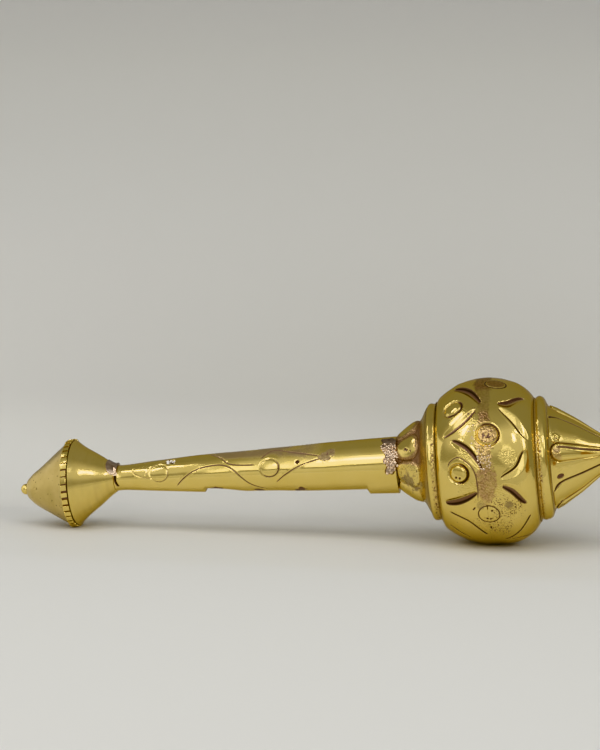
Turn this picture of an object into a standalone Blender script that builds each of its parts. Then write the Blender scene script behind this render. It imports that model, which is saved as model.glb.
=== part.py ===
# Ceremonial mace (gada) of sheet brass, lying on its side on the ball and the pommel's rim.
#
# World frame: +X along the mace towards the crown, +Z up, origin under the middle of the whole length.
# Lengths are in millimetres and become metres when a mesh is made. Along the mace a place is given by
# its station, the distance from the ball's centre, positive towards the crown. Round the mace it is
# given by its angle in degrees, 0 at the front (-Y), 90 on top and -90 on the underside.

from math import asin, cos, pi, radians, sin, sqrt, tan

import bmesh
import bpy
import numpy as np
from mathutils import Matrix

MM = 0.001
GAP = 0.3  # clearance between pieces that touch

# Ball
BALL_RADIUS = 42.3
BALL_HALF_LENGTH = 38.4  # semi-axis of its outline along the mace
BALL_END = -25.0  # station where its shaft side stops under the collar
BALL_END_RADIUS = 30.4
BALL_SEAM = -0.5
BALL_SAG = 0.95  # the crown side has sunk this much on its way to the upper collar
BALL_SAG_END = 14.0
BALL_FLAT = 0.4  # depth of the flat spot it lies on

# Crosses of four spindle cuts, set by hand round the ball, with a ringed disc between neighbours
CROSS_ANGLES = (-8, 46, 99, 149, 199, 247, 299)
DISCS_BETWEEN = (  # each as (station, angle)
    (1.8, 23.8),
    (5.6, 72.0),
    (2.0, 124.0),
    (1.0, 174.0),
    (2.5, 222.0),
    (-3.0, 270.0),
    (0.0, 327.3),
)
DISC_RADIUS = 5.3
RING_WIDTH = 1.8
RING_DEPTH = 0.8
SIDE_DISC_ANGLE = 5.0  # from the cross to the smaller disc on its shaft side
SIDE_DISC_STATION = -14.3
SIDE_DISC_RADIUS = 4.6
PLAIN_CROSS = 299  # this cross has fine lines and no side disc
# One cross: each cut as (station, angle from the cross) at its start, middle and end
CROSS_CUTS = (
    ((-1.7, 6.0), (-8.5, 20.0), (-16.5, 30.5)),
    ((-4.2, -4.0), (-12.0, -12.5), (-21.0, -20.0)),
    ((6.8, 2.0), (14.0, 6.0), (20.0, 19.0)),
    ((7.6, -2.0), (14.0, -8.0), (20.0, -21.5)),
)
CUT_WIDTH = 4.2
CUT_DEPTH = 1.5
FINE_CUT_WIDTH = 2.0
FINE_CUT_DEPTH = 0.7

# Collars
COLLAR_HALF_WIDTH = 2.3
COLLAR_STATION = -27.7
COLLAR_RADIUS = 29.6
COLLAR_LIFT = 0.8

# Crown: four repeats of a broad petal, a round rib and a narrow field
CROWN_RADIUS = 26.0
CROWN_FOOT = 31.0
CROWN_TILT = radians(1.2)  # it leans up this much from the ball's axis, and the upper collar is wider below
COLLAR_SKEW = (25.2, 30.0)  # the stations over which that collar's circles come to lean with the crown
CROWN_TOP = 69.6
CROWN_TOP_RADIUS = 2.4
CROWN_FLARE = 0.9  # the foot spreads this much beyond the cone
CROWN_FLARE_LENGTH = 3.6
CROWN_WAIST = 1.1  # and the cone is drawn in by this much on its way to the tip
CROWN_WAIST_STATIONS = (43.0, 57.0)
CROWN_REPEATS = 4
BROAD_PETAL = (23.0, 63.5)
ROUND_RIB = (0.0, 23.0)
RIB_HEIGHT = 1.7
RIB_END_LENGTH = 3.0
BROAD_HEIGHT = 0.6
PETAL_CREASE = 0.6
TIP_BEAD_RADIUS = 2.8
CROWN_BEAD_STATION = 71.6

# Bud under the ball
BUD_START = -46.4
BUD_END = -30.4
BUD_PETALS = 8
BUD_PETAL_EDGE = 8.7
BUD_PETAL_HEIGHT = 1.4

# Shaft, a tapered tube whose lap shows as two steps on the underside
SHAFT_START = -193.6
SHAFT_END = -46.8
SHAFT_LIFT = 1.4  # the shaft and bud sit this much above the ball's axis
LAP_CUT = (-147.2, -145.8, -123.0)  # the step starts, reaches its depth and has faded out
LAP_CUT_DEPTH = 2.4
LIP_STEP = (-63.2, -61.4)
LIP_HEIGHT = 2.3
LAP_HALF_ANGLE = 58.0
VINE_WIDTH = 1.3
VINE_DEPTH = 0.5
VINE_DISC_RADIUS = 4.8
VINE_DISCS = ((-169.2, 15.5), (-111.2, 11.2))
# The vine's stems on the front, as (station, angle) points
VINE_STEMS = (
    ((-183.2, 37.0), (-182.4, 18.0), (-178.5, 3.0), (-172.5, -4.0)),
    ((-176.8, 8.0), (-174.2, 31.0), (-171.0, 51.0), (-165.5, 62.0)),
    ((-160.6, -37), (-155.2, -2), (-147.0, 22), (-137.0, 28), (-130.3, 11), (-121.5, -36), (-113.0, -60)),
    ((-143.0, 78.0), (-136.0, 48.0), (-131.0, 27.0), (-118.5, 21.0)),
    ((-115.8, 38.0), (-109.0, 66.0), (-99.0, 50.0), (-84.8, 33.0)),
    ((-108.2, -31.0), (-103.1, -9.0), (-95.0, 12.0), (-84.8, 27.0)),
)

# Pommel: its rim is square to the ball's axis, its front cone leans up to the shaft and its point droops
RIM_TO_BALL = 216.2
POINT_DROOP = 1.9
POINT_DROOP_LENGTH = 18.0
RIM_RADIUS = 22.8
RIM_HALF_WIDTH = 1.7
RIM_BEVEL = 0.8
RIM_NOTCHES = 38
RIM_NOTCH_DEPTH = 0.6
RIM_FLAT = 0.3  # depth of the flat spot on the rim's lowest edge
POMMEL_BEAD_STATION = -26.1  # from the rim's middle

# Braze and solder, lumps that lap round one side of a joint
NECK_SOLDER_ANGLES = (2.0, 118.0)
NECK_SOLDER_STATIONS = (16.5, 24.3)
SOLDER_THICKNESS = 0.3
JOINT_BRAZE_ANGLES = (-22.0, 74.0)
JOINT_BRAZE_STATIONS = (-54.0, -46.9)
BRAZE_THICKNESS = 1.1
BRAZE_LUMPS = 0.5
BRAZE_RAGGED_EDGE = 1.3
EDGE_THICKNESS = 0.3

# Fineness: columns round each turned piece, and the triangles kept on each chased one
CONE_STEPS = 44
COLLAR_STEPS = 36
BEAD_STEPS = 12
COLUMNS_PER_NOTCH = 3
BALL_STEPS = 440
SHAFT_STEPS = 160
CROWN_STEPS = 300
BUD_STEPS = 240
BALL_HALF_TRIANGLES = 1450
SHAFT_TRIANGLES = 1500
CROWN_TRIANGLES = 800
BUD_TRIANGLES = 600

BRASS = (0.72, 0.50, 0.13)
DULL_BRASS = (0.52, 0.40, 0.20)
COPPER = (0.48, 0.28, 0.17)

# Outlines, as (station, radius)
BALL_CROWN_SIDE = (
    (-0.4, 42.3),
    (2.9, 42.3),
    (8.0, 41.9),
    (12.3, 40.9),
    (15.2, 39.8),
    (17.3, 38.6),
    (19.4, 37.1),
    (21.5, 35.1),
    (23.0, 33.1),
    (24.1, 31.4),
)
UPPER_COLLAR_OUTLINE = (
    (30.7, 26.3),
    (30.5, 27.4),
    (30.0, 28.7),
    (29.3, 29.9),
    (28.3, 30.7),
    (26.9, 31.1),
    (25.6, 31.0),
    (24.7, 30.4),
    (24.4, 29.4),
)
SHAFT_OUTLINE = (
    (-194.0, 7.0),
    (-187.0, 6.8),
    (-160.0, 9.0),
    (-143.0, 10.0),
    (-115.0, 10.9),
    (-88.0, 12.2),
    (-46.0, 13.5),
)
BUD_OUTLINE = ((-46.4, 14.1), (-43.0, 16.2), (-38.5, 19.4), (-34.5, 21.8), (-32.6, 23.9), (-30.4, 27.0))
# These two are measured from the rim's middle
BACK_CONE_OUTLINE = ((-2.0, 21.5), (-21.3, 8.1), (-24.2, 5.3), (-24.9, 4.2), (-25.2, 3.2))
FRONT_CONE_OUTLINE = ((2.0, 22.0), (6.5, 18.2), (13.5, 13.5), (18.8, 9.6), (21.7, 7.6))

# The ball's lowest point, and the slope that rests both the ball and the rim on the floor
BALL_SEAT = BALL_RADIUS - BALL_FLAT
ROUGH_INCLINE = radians(5.1)
RIM_EDGE = RIM_HALF_WIDTH - RIM_BEVEL
RIM_SEAT = RIM_RADIUS * cos(ROUGH_INCLINE) + RIM_EDGE * sin(ROUGH_INCLINE) - RIM_FLAT
INCLINE = asin((BALL_SEAT - RIM_SEAT) / RIM_TO_BALL)

# The whole length is centred on the origin
BEAD_REACH = (RIM_TO_BALL - POMMEL_BEAD_STATION) * cos(INCLINE)
CROWN_LENGTH = CROWN_BEAD_STATION - CROWN_FOOT
CROWN_REACH = CROWN_FOOT * cos(INCLINE) + CROWN_LENGTH * cos(INCLINE + CROWN_TILT)
BALL_X = (BEAD_REACH - CROWN_REACH) / 2


def new_collection(name):
    collection = bpy.data.collections.new(name)
    bpy.context.scene.collection.children.link(collection)
    return collection


def new_material(name, colour, roughness):
    material = bpy.data.materials.new(name)
    material.use_nodes = True
    shader = material.node_tree.nodes["Principled BSDF"]
    shader.inputs["Base Color"].default_value = (*colour, 1.0)
    shader.inputs["Metallic"].default_value = 1.0
    shader.inputs["Roughness"].default_value = roughness
    return material


def new_axis(name, parent, location, rotation):
    """An empty whose +Z runs along a turned piece's axis, with +Y up and +X to the back."""
    axis = bpy.data.objects.new(name, None)
    parts.objects.link(axis)
    axis.parent = parent
    axis.location = [value * MM for value in location]
    axis.rotation_euler = rotation
    return axis


def smooth_path(points, per_span=6):
    """Points along the smooth curve (Catmull-Rom) that passes through the given points."""
    given = np.array([points[0], *points, points[-1]], dtype=float)
    t = np.linspace(0.0, 1.0, per_span, endpoint=False)[:, None]
    spans = []
    for before, start, end, after in zip(given, given[1:], given[2:], given[3:]):
        bend = (2 * before - 5 * start + 4 * end - after) * t**2
        bend += (3 * start - before - 3 * end + after) * t**3
        spans.append(0.5 * (2 * start + (end - before) * t + bend))
    return np.vstack([*spans, given[-1:]])


def ramp(value, low, high):
    """0 below low, 1 above high, and an even S-curve between."""
    t = np.clip((value - low) / (high - low), 0.0, 1.0)
    return t * t * (3.0 - 2.0 * t)


def turn_from(angle, centre):
    """The signed angle from centre, within half a turn each way."""
    return (angle - centre + 180.0) % 360.0 - 180.0


def cut_along(path, station, angle, radius, width, depth, spindle=False):
    """Depth at each point of a V-shaped cut along a path. A spindle narrows to nothing at both ends."""
    nearest = np.full(station.shape, np.inf)
    run = np.zeros(station.shape)
    spans = len(path) - 1
    for index in range(spans):
        start, end = path[index], path[index + 1]
        along, across = end[0] - start[0], np.radians(end[1] - start[1]) * radius
        from_start = station - start[0]
        aside = np.radians(turn_from(angle, start[1])) * radius
        t = np.clip((from_start * along + aside * across) / (along**2 + across**2), 0.0, 1.0)
        distance = np.hypot(from_start - t * along, aside - t * across)
        closer = distance < nearest
        nearest = np.where(closer, distance, nearest)
        run = np.where(closer, (index + t) / spans, run)
    fullness = np.sqrt(np.sin(np.pi * run).clip(0.02)) if spindle else 1.0
    return depth * fullness * np.clip(1.0 - nearest / (0.5 * width * fullness), 0.0, 1.0)


def disc_relief(station, angle, radius, place, disc_radius, width, depth):
    """A ringed disc: a groove round it and a slightly domed middle."""
    distance = np.hypot(station - place[0], np.radians(turn_from(angle, place[1])) * radius)
    ring = depth * np.clip(1.0 - np.abs(distance - disc_radius) / (0.5 * width), 0.0, 1.0)
    dome = 0.4 * depth * np.clip(1.0 - (distance / disc_radius) ** 2, 0.0, 1.0)
    return dome - ring


def ball_relief(station, angle, radius):
    height = np.zeros(station.shape)
    for cross in CROSS_ANGLES:
        fine = cross == PLAIN_CROSS
        for cut in CROSS_CUTS:
            path = smooth_path([(place, cross + turn) for place, turn in cut])
            width, depth = (FINE_CUT_WIDTH, FINE_CUT_DEPTH) if fine else (CUT_WIDTH, CUT_DEPTH)
            height -= cut_along(path, station, angle, radius, width, depth, spindle=True)
        if not fine:
            place = (SIDE_DISC_STATION, cross + SIDE_DISC_ANGLE)
            height += disc_relief(station, angle, radius, place, SIDE_DISC_RADIUS, RING_WIDTH, RING_DEPTH)
    for place in DISCS_BETWEEN:
        height += disc_relief(station, angle, radius, place, DISC_RADIUS, RING_WIDTH, RING_DEPTH)
    return height


def bud_relief(station, angle, radius):
    """Eight rounded petals that stand above the grooves between them."""
    pitch = 360.0 / BUD_PETALS
    aside = np.abs((angle - BUD_PETAL_EDGE) % pitch - pitch / 2) / (pitch / 2)
    along = np.abs(station + 39.8) / 6.4
    petal = np.clip(1.0 - aside**3 - along**4, 0.0, 1.0) ** 0.5
    return BUD_PETAL_HEIGHT * (petal - 0.75) * ramp(station, BUD_END, BUD_END - 3.0)


def crown_relief(station, angle, radius):
    """A broad petal, a round rib and a narrow field in each quarter, all narrowing to the point."""
    quarter = 360.0 / CROWN_REPEATS
    turn = angle % quarter
    scale = radius / CROWN_RADIUS
    rib = np.sin(np.pi * np.clip((turn - ROUND_RIB[0]) / (ROUND_RIB[1] - ROUND_RIB[0]), 0.0, 1.0))
    rib_end = np.sqrt(np.clip((station - CROWN_FOOT - 0.4) / RIB_END_LENGTH, 0.0, 1.0))
    broad = np.sin(np.pi * np.clip((turn - BROAD_PETAL[0]) / (BROAD_PETAL[1] - BROAD_PETAL[0]), 0.0, 1.0))
    height = (RIB_HEIGHT * rib * rib_end + BROAD_HEIGHT * np.sqrt(broad) - BROAD_HEIGHT) * scale
    for edge in (*ROUND_RIB, BROAD_PETAL[1]):
        distance = np.abs(turn_from(turn * 4, edge * 4)) / 4 * np.radians(1) * radius
        height -= PETAL_CREASE * scale * np.clip(1.0 - distance / 0.9, 0.0, 1.0)
    return height * (1.0 - ramp(station, CROWN_TOP - 5.0, CROWN_TOP))


def shaft_relief(station, angle, radius):
    """The lap's two steps on the underside, and the vine on the front and again, plainer, on the back."""
    under = np.cos(np.pi / 2 * np.clip(turn_from(angle, -90.0) / LAP_HALF_ANGLE, -1.0, 1.0)) ** 2
    step_in, step_full, faded_out = LAP_CUT
    height = LIP_HEIGHT * under * ramp(station, *LIP_STEP)
    height -= LAP_CUT_DEPTH * under * ramp(station, step_in, step_full) * ramp(station, faded_out, step_full)
    for side, stems in ((0.0, VINE_STEMS), (180.0, VINE_STEMS[2:])):
        for stem in stems:
            path = smooth_path([(place, turn + side) for place, turn in stem], 4)
            height -= cut_along(path, station, angle, radius, VINE_WIDTH, VINE_DEPTH)
        for place, turn in VINE_DISCS:
            disc = (place, turn + side)
            height += disc_relief(station, angle, radius, disc, VINE_DISC_RADIUS, VINE_WIDTH, VINE_DEPTH)
    return height


def rim_relief(station, angle, radius):
    """Notches across the band. A column of the blank falls on the middle of each."""
    pitch = 360.0 / RIM_NOTCHES
    from_notch = np.abs(turn_from(angle * RIM_NOTCHES, 0.0)) / RIM_NOTCHES
    return np.where(from_notch < pitch / 10, -RIM_NOTCH_DEPTH, 0.0)


def ball_radius(station):
    """The ball's outline, pulled in a little beside the lower collar and fuller towards the upper one."""
    if station > BALL_SEAM:
        return blend(BALL_CROWN_SIDE, station)
    full = BALL_RADIUS * sqrt(1.0 - (station / BALL_HALF_LENGTH) ** 2)
    tuck = max(0.0, (station + 23.0) / (BALL_END + 23.0))
    end_full = BALL_RADIUS * sqrt(1.0 - (BALL_END / BALL_HALF_LENGTH) ** 2)
    return full - (end_full - BALL_END_RADIUS) * tuck**2


def closed(outline):
    """Adds the points on the axis that close a turned outline, given from its top end to its bottom end."""
    return [(outline[0][0], 0.0), *outline, (outline[-1][0], 0.0)]


def collar_arc(points=6):
    """The lower collar's half-round outline, from its crown side to its shaft side."""
    centre = COLLAR_RADIUS - COLLAR_HALF_WIDTH
    turns = [pi * index / (points - 1) for index in range(points)]
    half = COLLAR_HALF_WIDTH
    return [(COLLAR_STATION + half * cos(t), centre + half * sin(t)) for t in turns]


def bead_arc(station, radius, neck_station, points=7):
    """A round bead's outline from its far end to the flat where it meets the cone."""
    reach = asin(abs(neck_station - station) / radius)
    outward = 1.0 if station > neck_station else -1.0
    turns = [(pi / 2 + reach) * index / (points - 1) for index in range(points)]
    return [(station + outward * radius * cos(t), radius * sin(t)) for t in turns]


def turned(name, outline, steps, axis, material):
    """A solid of revolution. The outline is (station, radius) points from its top end to its bottom end."""
    mesh = bpy.data.meshes.new(name)
    points = [(radius * MM, 0.0, station * MM) for station, radius in outline]
    mesh.from_pydata(points, [(i, i + 1) for i in range(len(points) - 1)], [])
    obj = bpy.data.objects.new(name, mesh)
    parts.objects.link(obj)
    obj.parent = axis
    mesh.materials.append(material)
    screw = obj.modifiers.new("Turn", "SCREW")
    screw.steps = steps
    screw.render_steps = steps
    screw.use_merge_vertices = True
    screw.merge_threshold = 0.00001
    screw.use_smooth_shade = True
    return obj


def made_mesh(obj):
    """Applies an object's modifiers."""
    graph = bpy.context.evaluated_depsgraph_get()
    mesh = bpy.data.meshes.new_from_object(obj.evaluated_get(graph))
    obj.modifiers.clear()
    obj.data = mesh
    return mesh


def chase(obj, relief):
    """Moves each point of a turned blank out or in along its radius by the relief there."""
    mesh = made_mesh(obj)
    points = np.empty(len(mesh.vertices) * 3)
    mesh.vertices.foreach_get("co", points)
    x, y, z = points.reshape(-1, 3).T / MM
    radius = np.hypot(x, y)
    angle = 180.0 - np.degrees(np.arctan2(y, x))
    moved = radius + np.where(radius > 1.0, relief(z, angle, radius), 0.0)
    factor = moved / np.maximum(radius, 0.001)
    mesh.vertices.foreach_set("co", (np.column_stack((x * factor, y * factor, z)) * MM).ravel())
    mesh.shade_smooth()
    mesh.update()


def thin_faces(obj, triangles):
    """Keeps about this many triangles, most of them where the relief bends."""
    obj.data.calc_loop_triangles()
    thin = obj.modifiers.new("Thin", "DECIMATE")
    thin.ratio = triangles / len(obj.data.loop_triangles)


def slide_up(obj, rise):
    """Slides each circle of a turned piece upwards by the rise at its station."""
    mesh = made_mesh(obj)
    for vert in mesh.vertices:
        vert.co.y += rise(vert.co.z / MM) * MM
    mesh.shade_smooth()


def skew(obj, start, end, tilt):
    """Leans a turned piece's circles, their tops backwards, from none at the start to the tilt at the end."""
    mesh = made_mesh(obj)
    for vert in mesh.vertices:
        vert.co.z -= vert.co.y * tan(tilt) * float(ramp(vert.co.z / MM, start, end))
    mesh.shade_smooth()


def seat_on_floor(obj):
    """Cuts the flat spot that the piece lies on."""
    cut = obj.modifiers.new("Flat spot", "BOOLEAN")
    cut.operation = "DIFFERENCE"
    cut.object = floor_cutter


def wrapped(name, angles, stations, grid, axis, material):
    """A cube, subdivided, whose X is spread over the angles and Y over the stations of a lump on a joint."""
    body = bmesh.new()
    bmesh.ops.create_cube(body, size=1.0)
    for direction, count in enumerate(grid):
        edges = [e for e in body.edges if abs(e.verts[0].co[direction] - e.verts[1].co[direction]) > 0.01]
        bmesh.ops.subdivide_edges(body, edges=edges, cuts=count - 1, use_grid_fill=True)
    for vert in body.verts:
        across, along, above = vert.co
        angle = angles[0] + (across + 0.5) * (angles[1] - angles[0])
        station = stations[0] + (along + 0.5) * (stations[1] - stations[0])
        vert.co = (angle, station, above)
    mesh = bpy.data.meshes.new(name)
    body.to_mesh(mesh)
    body.free()
    mesh.materials.append(material)
    obj = bpy.data.objects.new(name, mesh)
    parts.objects.link(obj)
    obj.parent = axis
    return obj


def thicken(lump, inner_radius, thickness, lumps, ragged):
    """Bends a wrapped cube round the joint: its underside follows the joint, its top thins to the edges."""
    mesh = lump.data
    angles = [vert.co.x for vert in mesh.vertices]
    stations = [vert.co.y for vert in mesh.vertices]
    middle_angle, half_turn = (max(angles) + min(angles)) / 2, (max(angles) - min(angles)) / 2
    middle, half_length = (max(stations) + min(stations)) / 2, (max(stations) - min(stations)) / 2
    for vert in mesh.vertices:
        angle, station, above = vert.co
        across, along = (angle - middle_angle) / half_turn, (station - middle) / half_length
        fullness = max(0.0, (1.0 - across**4) * (1.0 - along**4))
        ripple = sin(angle * 0.37 + station * 2.1) * cos(angle * 0.23 - station * 1.3)
        station += ragged * (0.5 - along / 2) * sin(angle * 0.11 + 1.0)
        radius = inner_radius(station)
        if above > 0:
            radius += EDGE_THICKNESS + (thickness + lumps * ripple) * fullness
        turn = radians(180.0 - angle)
        vert.co = (radius * cos(turn) * MM, radius * sin(turn) * MM, station * MM)
    mesh.flip_normals()
    mesh.shade_smooth()


def blend(points, station):
    """A radius between the given (station, radius) points, on a smooth curve through them."""
    path = smooth_path(sorted(points))
    return float(np.interp(station, path[:, 0], path[:, 1]))


def stations_between(start, end, spacing):
    count = max(2, round(abs(end - start) / spacing) + 1)
    return [float(value) for value in np.linspace(start, end, count)]


def shaft_radius(station):
    return blend(SHAFT_OUTLINE, station) + GAP


def neck_radius(station):
    """The surface under the neck solder, from the rim's middle: the front cone, then the shaft."""
    return max(blend(FRONT_CONE_OUTLINE, min(station, FRONT_CONE_OUTLINE[-1][0])), 7.2) + GAP + 0.2


def make_pommel(axis):
    """Two cones base to base with the notched band between them, a bead on the outer point."""
    back = turned("pommel_back_cone", closed(BACK_CONE_OUTLINE), CONE_STEPS, axis, dull)
    bead_foot = BACK_CONE_OUTLINE[-1][0] - GAP
    arc = bead_arc(POMMEL_BEAD_STATION, TIP_BEAD_RADIUS, bead_foot)
    bead = turned("pommel_tip_bead", [(bead_foot, 0.0), *reversed(arc)], BEAD_STEPS, axis, polished)
    for piece in (back, bead):
        slide_up(piece, lambda station: -POINT_DROOP * min(1.0, -station / POINT_DROOP_LENGTH))
    edge, shoulder = RIM_HALF_WIDTH, RIM_HALF_WIDTH - RIM_BEVEL
    low = RIM_RADIUS - RIM_BEVEL
    band = [(edge, low), (shoulder, RIM_RADIUS), (-shoulder, RIM_RADIUS), (-edge, low)]
    rim = turned("pommel_rim_band", closed(band), RIM_NOTCHES * COLUMNS_PER_NOTCH, axis, polished)
    chase(rim, rim_relief)
    seat_on_floor(rim)
    outline = list(reversed(FRONT_CONE_OUTLINE))
    front = turned("pommel_front_cone", closed(outline), CONE_STEPS, axis, polished)
    solder = wrapped("neck_solder", NECK_SOLDER_ANGLES, NECK_SOLDER_STATIONS, (12, 6), axis, copper)
    thicken(solder, neck_radius, SOLDER_THICKNESS, 0.0, 0.4)
    for piece in (front, solder):
        slide_up(piece, lambda station: SHAFT_LIFT * station / FRONT_CONE_OUTLINE[-1][0])


def make_shaft(axis):
    places = stations_between(SHAFT_END, SHAFT_START, 0.5)
    outline = [(place, blend(SHAFT_OUTLINE, place)) for place in places]
    shaft = turned("shaft", closed(outline), SHAFT_STEPS, axis, polished)
    chase(shaft, shaft_relief)
    thin_faces(shaft, SHAFT_TRIANGLES)
    braze = wrapped("joint_braze", JOINT_BRAZE_ANGLES, JOINT_BRAZE_STATIONS, (18, 6), axis, copper)
    thicken(braze, shaft_radius, BRAZE_THICKNESS, BRAZE_LUMPS, BRAZE_RAGGED_EDGE)


def make_head(axis, shaft_line, collar_line):
    """The bud on the shaft's line, the lower collar, then the two halves of the ball and the upper collar."""
    outline = [(place, blend(BUD_OUTLINE, place)) for place in stations_between(BUD_END, BUD_START, 0.5)]
    bud = turned("head_bud", closed(outline), BUD_STEPS, shaft_line, polished)
    chase(bud, bud_relief)
    thin_faces(bud, BUD_TRIANGLES)
    turned("lower_collar", closed(collar_arc()), COLLAR_STEPS, collar_line, polished)
    halves = (
        ("ball_lower_half", BALL_SEAM - GAP / 2, BALL_END),
        ("ball_upper_half", BALL_CROWN_SIDE[-1][0], BALL_SEAM + GAP / 2),
    )
    for name, top, bottom in halves:
        outline = [(place, ball_radius(place)) for place in stations_between(top, bottom, 0.6)]
        half = turned(name, closed(outline), BALL_STEPS, axis, polished)
        chase(half, ball_relief)
        thin_faces(half, BALL_HALF_TRIANGLES)
        slide_up(half, lambda station: -BALL_SAG * float(ramp(station, 0.0, BALL_SAG_END)))
        seat_on_floor(half)
    upper = turned("upper_collar", closed(UPPER_COLLAR_OUTLINE), COLLAR_STEPS, axis, polished)
    skew(upper, *COLLAR_SKEW, CROWN_TILT)


def make_crown(axis):
    outline = []
    for place in stations_between(CROWN_TOP, CROWN_FOOT, 0.6):
        up = (place - CROWN_FOOT) / (CROWN_TOP - CROWN_FOOT)
        flare = CROWN_FLARE * max(0.0, 1.0 - (place - CROWN_FOOT) / CROWN_FLARE_LENGTH) ** 2
        start, full = CROWN_WAIST_STATIONS
        waist = CROWN_WAIST * float(ramp(place, start, full) * ramp(place, CROWN_TOP, full))
        outline.append((place, CROWN_RADIUS + (CROWN_TOP_RADIUS - CROWN_RADIUS) * up + flare - waist))
    crown = turned("crown", closed(outline), CROWN_STEPS, axis, polished)
    chase(crown, crown_relief)
    thin_faces(crown, CROWN_TRIANGLES)
    bead = bead_arc(CROWN_BEAD_STATION, TIP_BEAD_RADIUS, CROWN_TOP + GAP)
    turned("crown_tip_bead", [*bead, (CROWN_TOP + GAP, 0.0)], BEAD_STEPS, axis, polished)


for old in list(bpy.data.objects):
    bpy.data.objects.remove(old, do_unlink=True)
parts = new_collection("ceremonial_mace")
cutters = new_collection("cutters")

polished = new_material("polished_brass", BRASS, 0.15)
dull = new_material("dull_brass", DULL_BRASS, 0.45)
copper = new_material("copper_braze", COPPER, 0.35)

mace_axis = new_axis("mace_axis", None, (BALL_X, 0.0, BALL_SEAT), (pi / 2 - INCLINE, 0.0, pi / 2))
shaft_axis = new_axis("shaft_axis", mace_axis, (0.0, SHAFT_LIFT, 0.0), (0.0, 0.0, 0.0))
collar_axis = new_axis("collar_axis", mace_axis, (0.0, COLLAR_LIFT, 0.0), (0.0, 0.0, 0.0))
pommel_axis = new_axis("pommel_axis", mace_axis, (0.0, 0.0, -RIM_TO_BALL), (0.0, 0.0, 0.0))
crown_place = (0.0, -CROWN_FOOT * sin(CROWN_TILT), CROWN_FOOT * (1.0 - cos(CROWN_TILT)))
crown_axis = new_axis("crown_axis", mace_axis, crown_place, (-CROWN_TILT, 0.0, 0.0))

bpy.ops.mesh.primitive_cube_add(size=1.0, location=(0.0, 0.0, -0.05))
floor_cutter = bpy.context.object
floor_cutter.name = "floor_cutter"
floor_cutter.data.transform(Matrix.Diagonal((0.6, 0.2, 0.1, 1.0)))
floor_cutter.hide_render = True
floor_cutter.display_type = "WIRE"
bpy.context.collection.objects.unlink(floor_cutter)
cutters.objects.link(floor_cutter)

make_pommel(pommel_axis)
make_shaft(shaft_axis)
make_head(mace_axis, shaft_axis, collar_axis)
make_crown(crown_axis)
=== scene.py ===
# Ceremonial mace (gada) of polished sheet brass, brazed with copper, lying on its ball and its pommel's rim.
#
# Lengths are in millimetres until a mesh is made. A place on the mace is a station, its distance from the
# ball's centre towards the crown, and an angle round the axis: 0 at the front, 90 on top, -90 underneath.

from functools import partial
from math import asin, cos, pi, radians, sin, sqrt, tan

import bpy
import numpy as np
from mathutils import Matrix, Vector


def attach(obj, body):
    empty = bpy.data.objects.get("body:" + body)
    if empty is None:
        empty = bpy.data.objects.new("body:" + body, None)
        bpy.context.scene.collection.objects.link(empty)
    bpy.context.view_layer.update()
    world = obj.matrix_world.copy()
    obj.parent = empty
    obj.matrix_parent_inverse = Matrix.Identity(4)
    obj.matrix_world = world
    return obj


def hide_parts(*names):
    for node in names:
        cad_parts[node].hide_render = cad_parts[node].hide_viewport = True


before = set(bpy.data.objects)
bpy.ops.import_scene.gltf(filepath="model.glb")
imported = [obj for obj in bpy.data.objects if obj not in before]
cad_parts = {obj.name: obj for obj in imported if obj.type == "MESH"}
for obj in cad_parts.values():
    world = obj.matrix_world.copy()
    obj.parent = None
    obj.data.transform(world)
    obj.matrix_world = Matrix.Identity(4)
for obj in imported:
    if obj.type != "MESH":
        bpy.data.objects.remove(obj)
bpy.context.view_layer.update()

mm = 0.001
print("frame loaded:", len(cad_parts), "nodes")

# How the mace lies
lie = {
    "ballSeat": 41.9,  # height of the ball's centre
    "rimToBall": 216.2,
    "rimRadius": 22.8,
    "rimEdge": 0.9,  # the rim touches the floor this far in front of its middle
    "rimFlat": 0.3,
    "roughIncline": radians(5.1),
    "pointStation": -26.1,  # the pommel's bead, from the rim
    "crownBeadStation": 71.6,
    "shaftLift": 1.4,  # the shaft and bud sit above the ball's axis
    "collarLift": 0.8,
    "pointDroop": 1.9,
    "pointDroopLength": 18,
    "neckStation": 21.7,  # where the front cone meets the shaft, from the rim
    "ballSag": 0.95,
    "ballSagEnd": 14,
    "crownFoot": 31,
    "crownTilt": radians(1.2),
    "ringSkew": (25.2, 30),  # over these stations the upper collar comes to lean with the crown
}
rough = lie["roughIncline"]
rimSeat = lie["rimRadius"] * cos(rough) + lie["rimEdge"] * sin(rough) - lie["rimFlat"]
incline = asin((lie["ballSeat"] - rimSeat) / lie["rimToBall"])
reach = (lie["rimToBall"] - lie["pointStation"]) * cos(incline)
crownReach = lie["crownFoot"] * cos(incline)
crownReach += (lie["crownBeadStation"] - lie["crownFoot"]) * cos(incline + lie["crownTilt"])
ballX = (reach - crownReach) / 2


def inFrame(station, up, front):  # a place measured from the ball's axis, as a point of the frame in metres
    x = ballX + station * cos(incline) - up * sin(incline)
    z = lie["ballSeat"] + station * sin(incline) + up * cos(incline)
    return np.stack(np.broadcast_arrays(x, -front, np.maximum(z, 0)), axis=-1) * mm


def onMace(station, angle, radius, lift=0):
    turn = np.radians(angle)
    return inFrame(station, radius * np.sin(turn) + lift, radius * np.cos(turn))


onShaft = partial(onMace, lift=lie["shaftLift"])
onLowerCollar = partial(onMace, lift=lie["collarLift"])


def onCrown(station, angle, radius):  # the crown leans up from its foot
    turn, tilt = np.radians(angle), lie["crownTilt"]
    along, up = station - lie["crownFoot"], radius * np.sin(turn)
    leaning = lie["crownFoot"] + along * cos(tilt) - up * sin(tilt)
    return inFrame(leaning, along * sin(tilt) + up * cos(tilt), radius * np.cos(turn))


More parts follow.
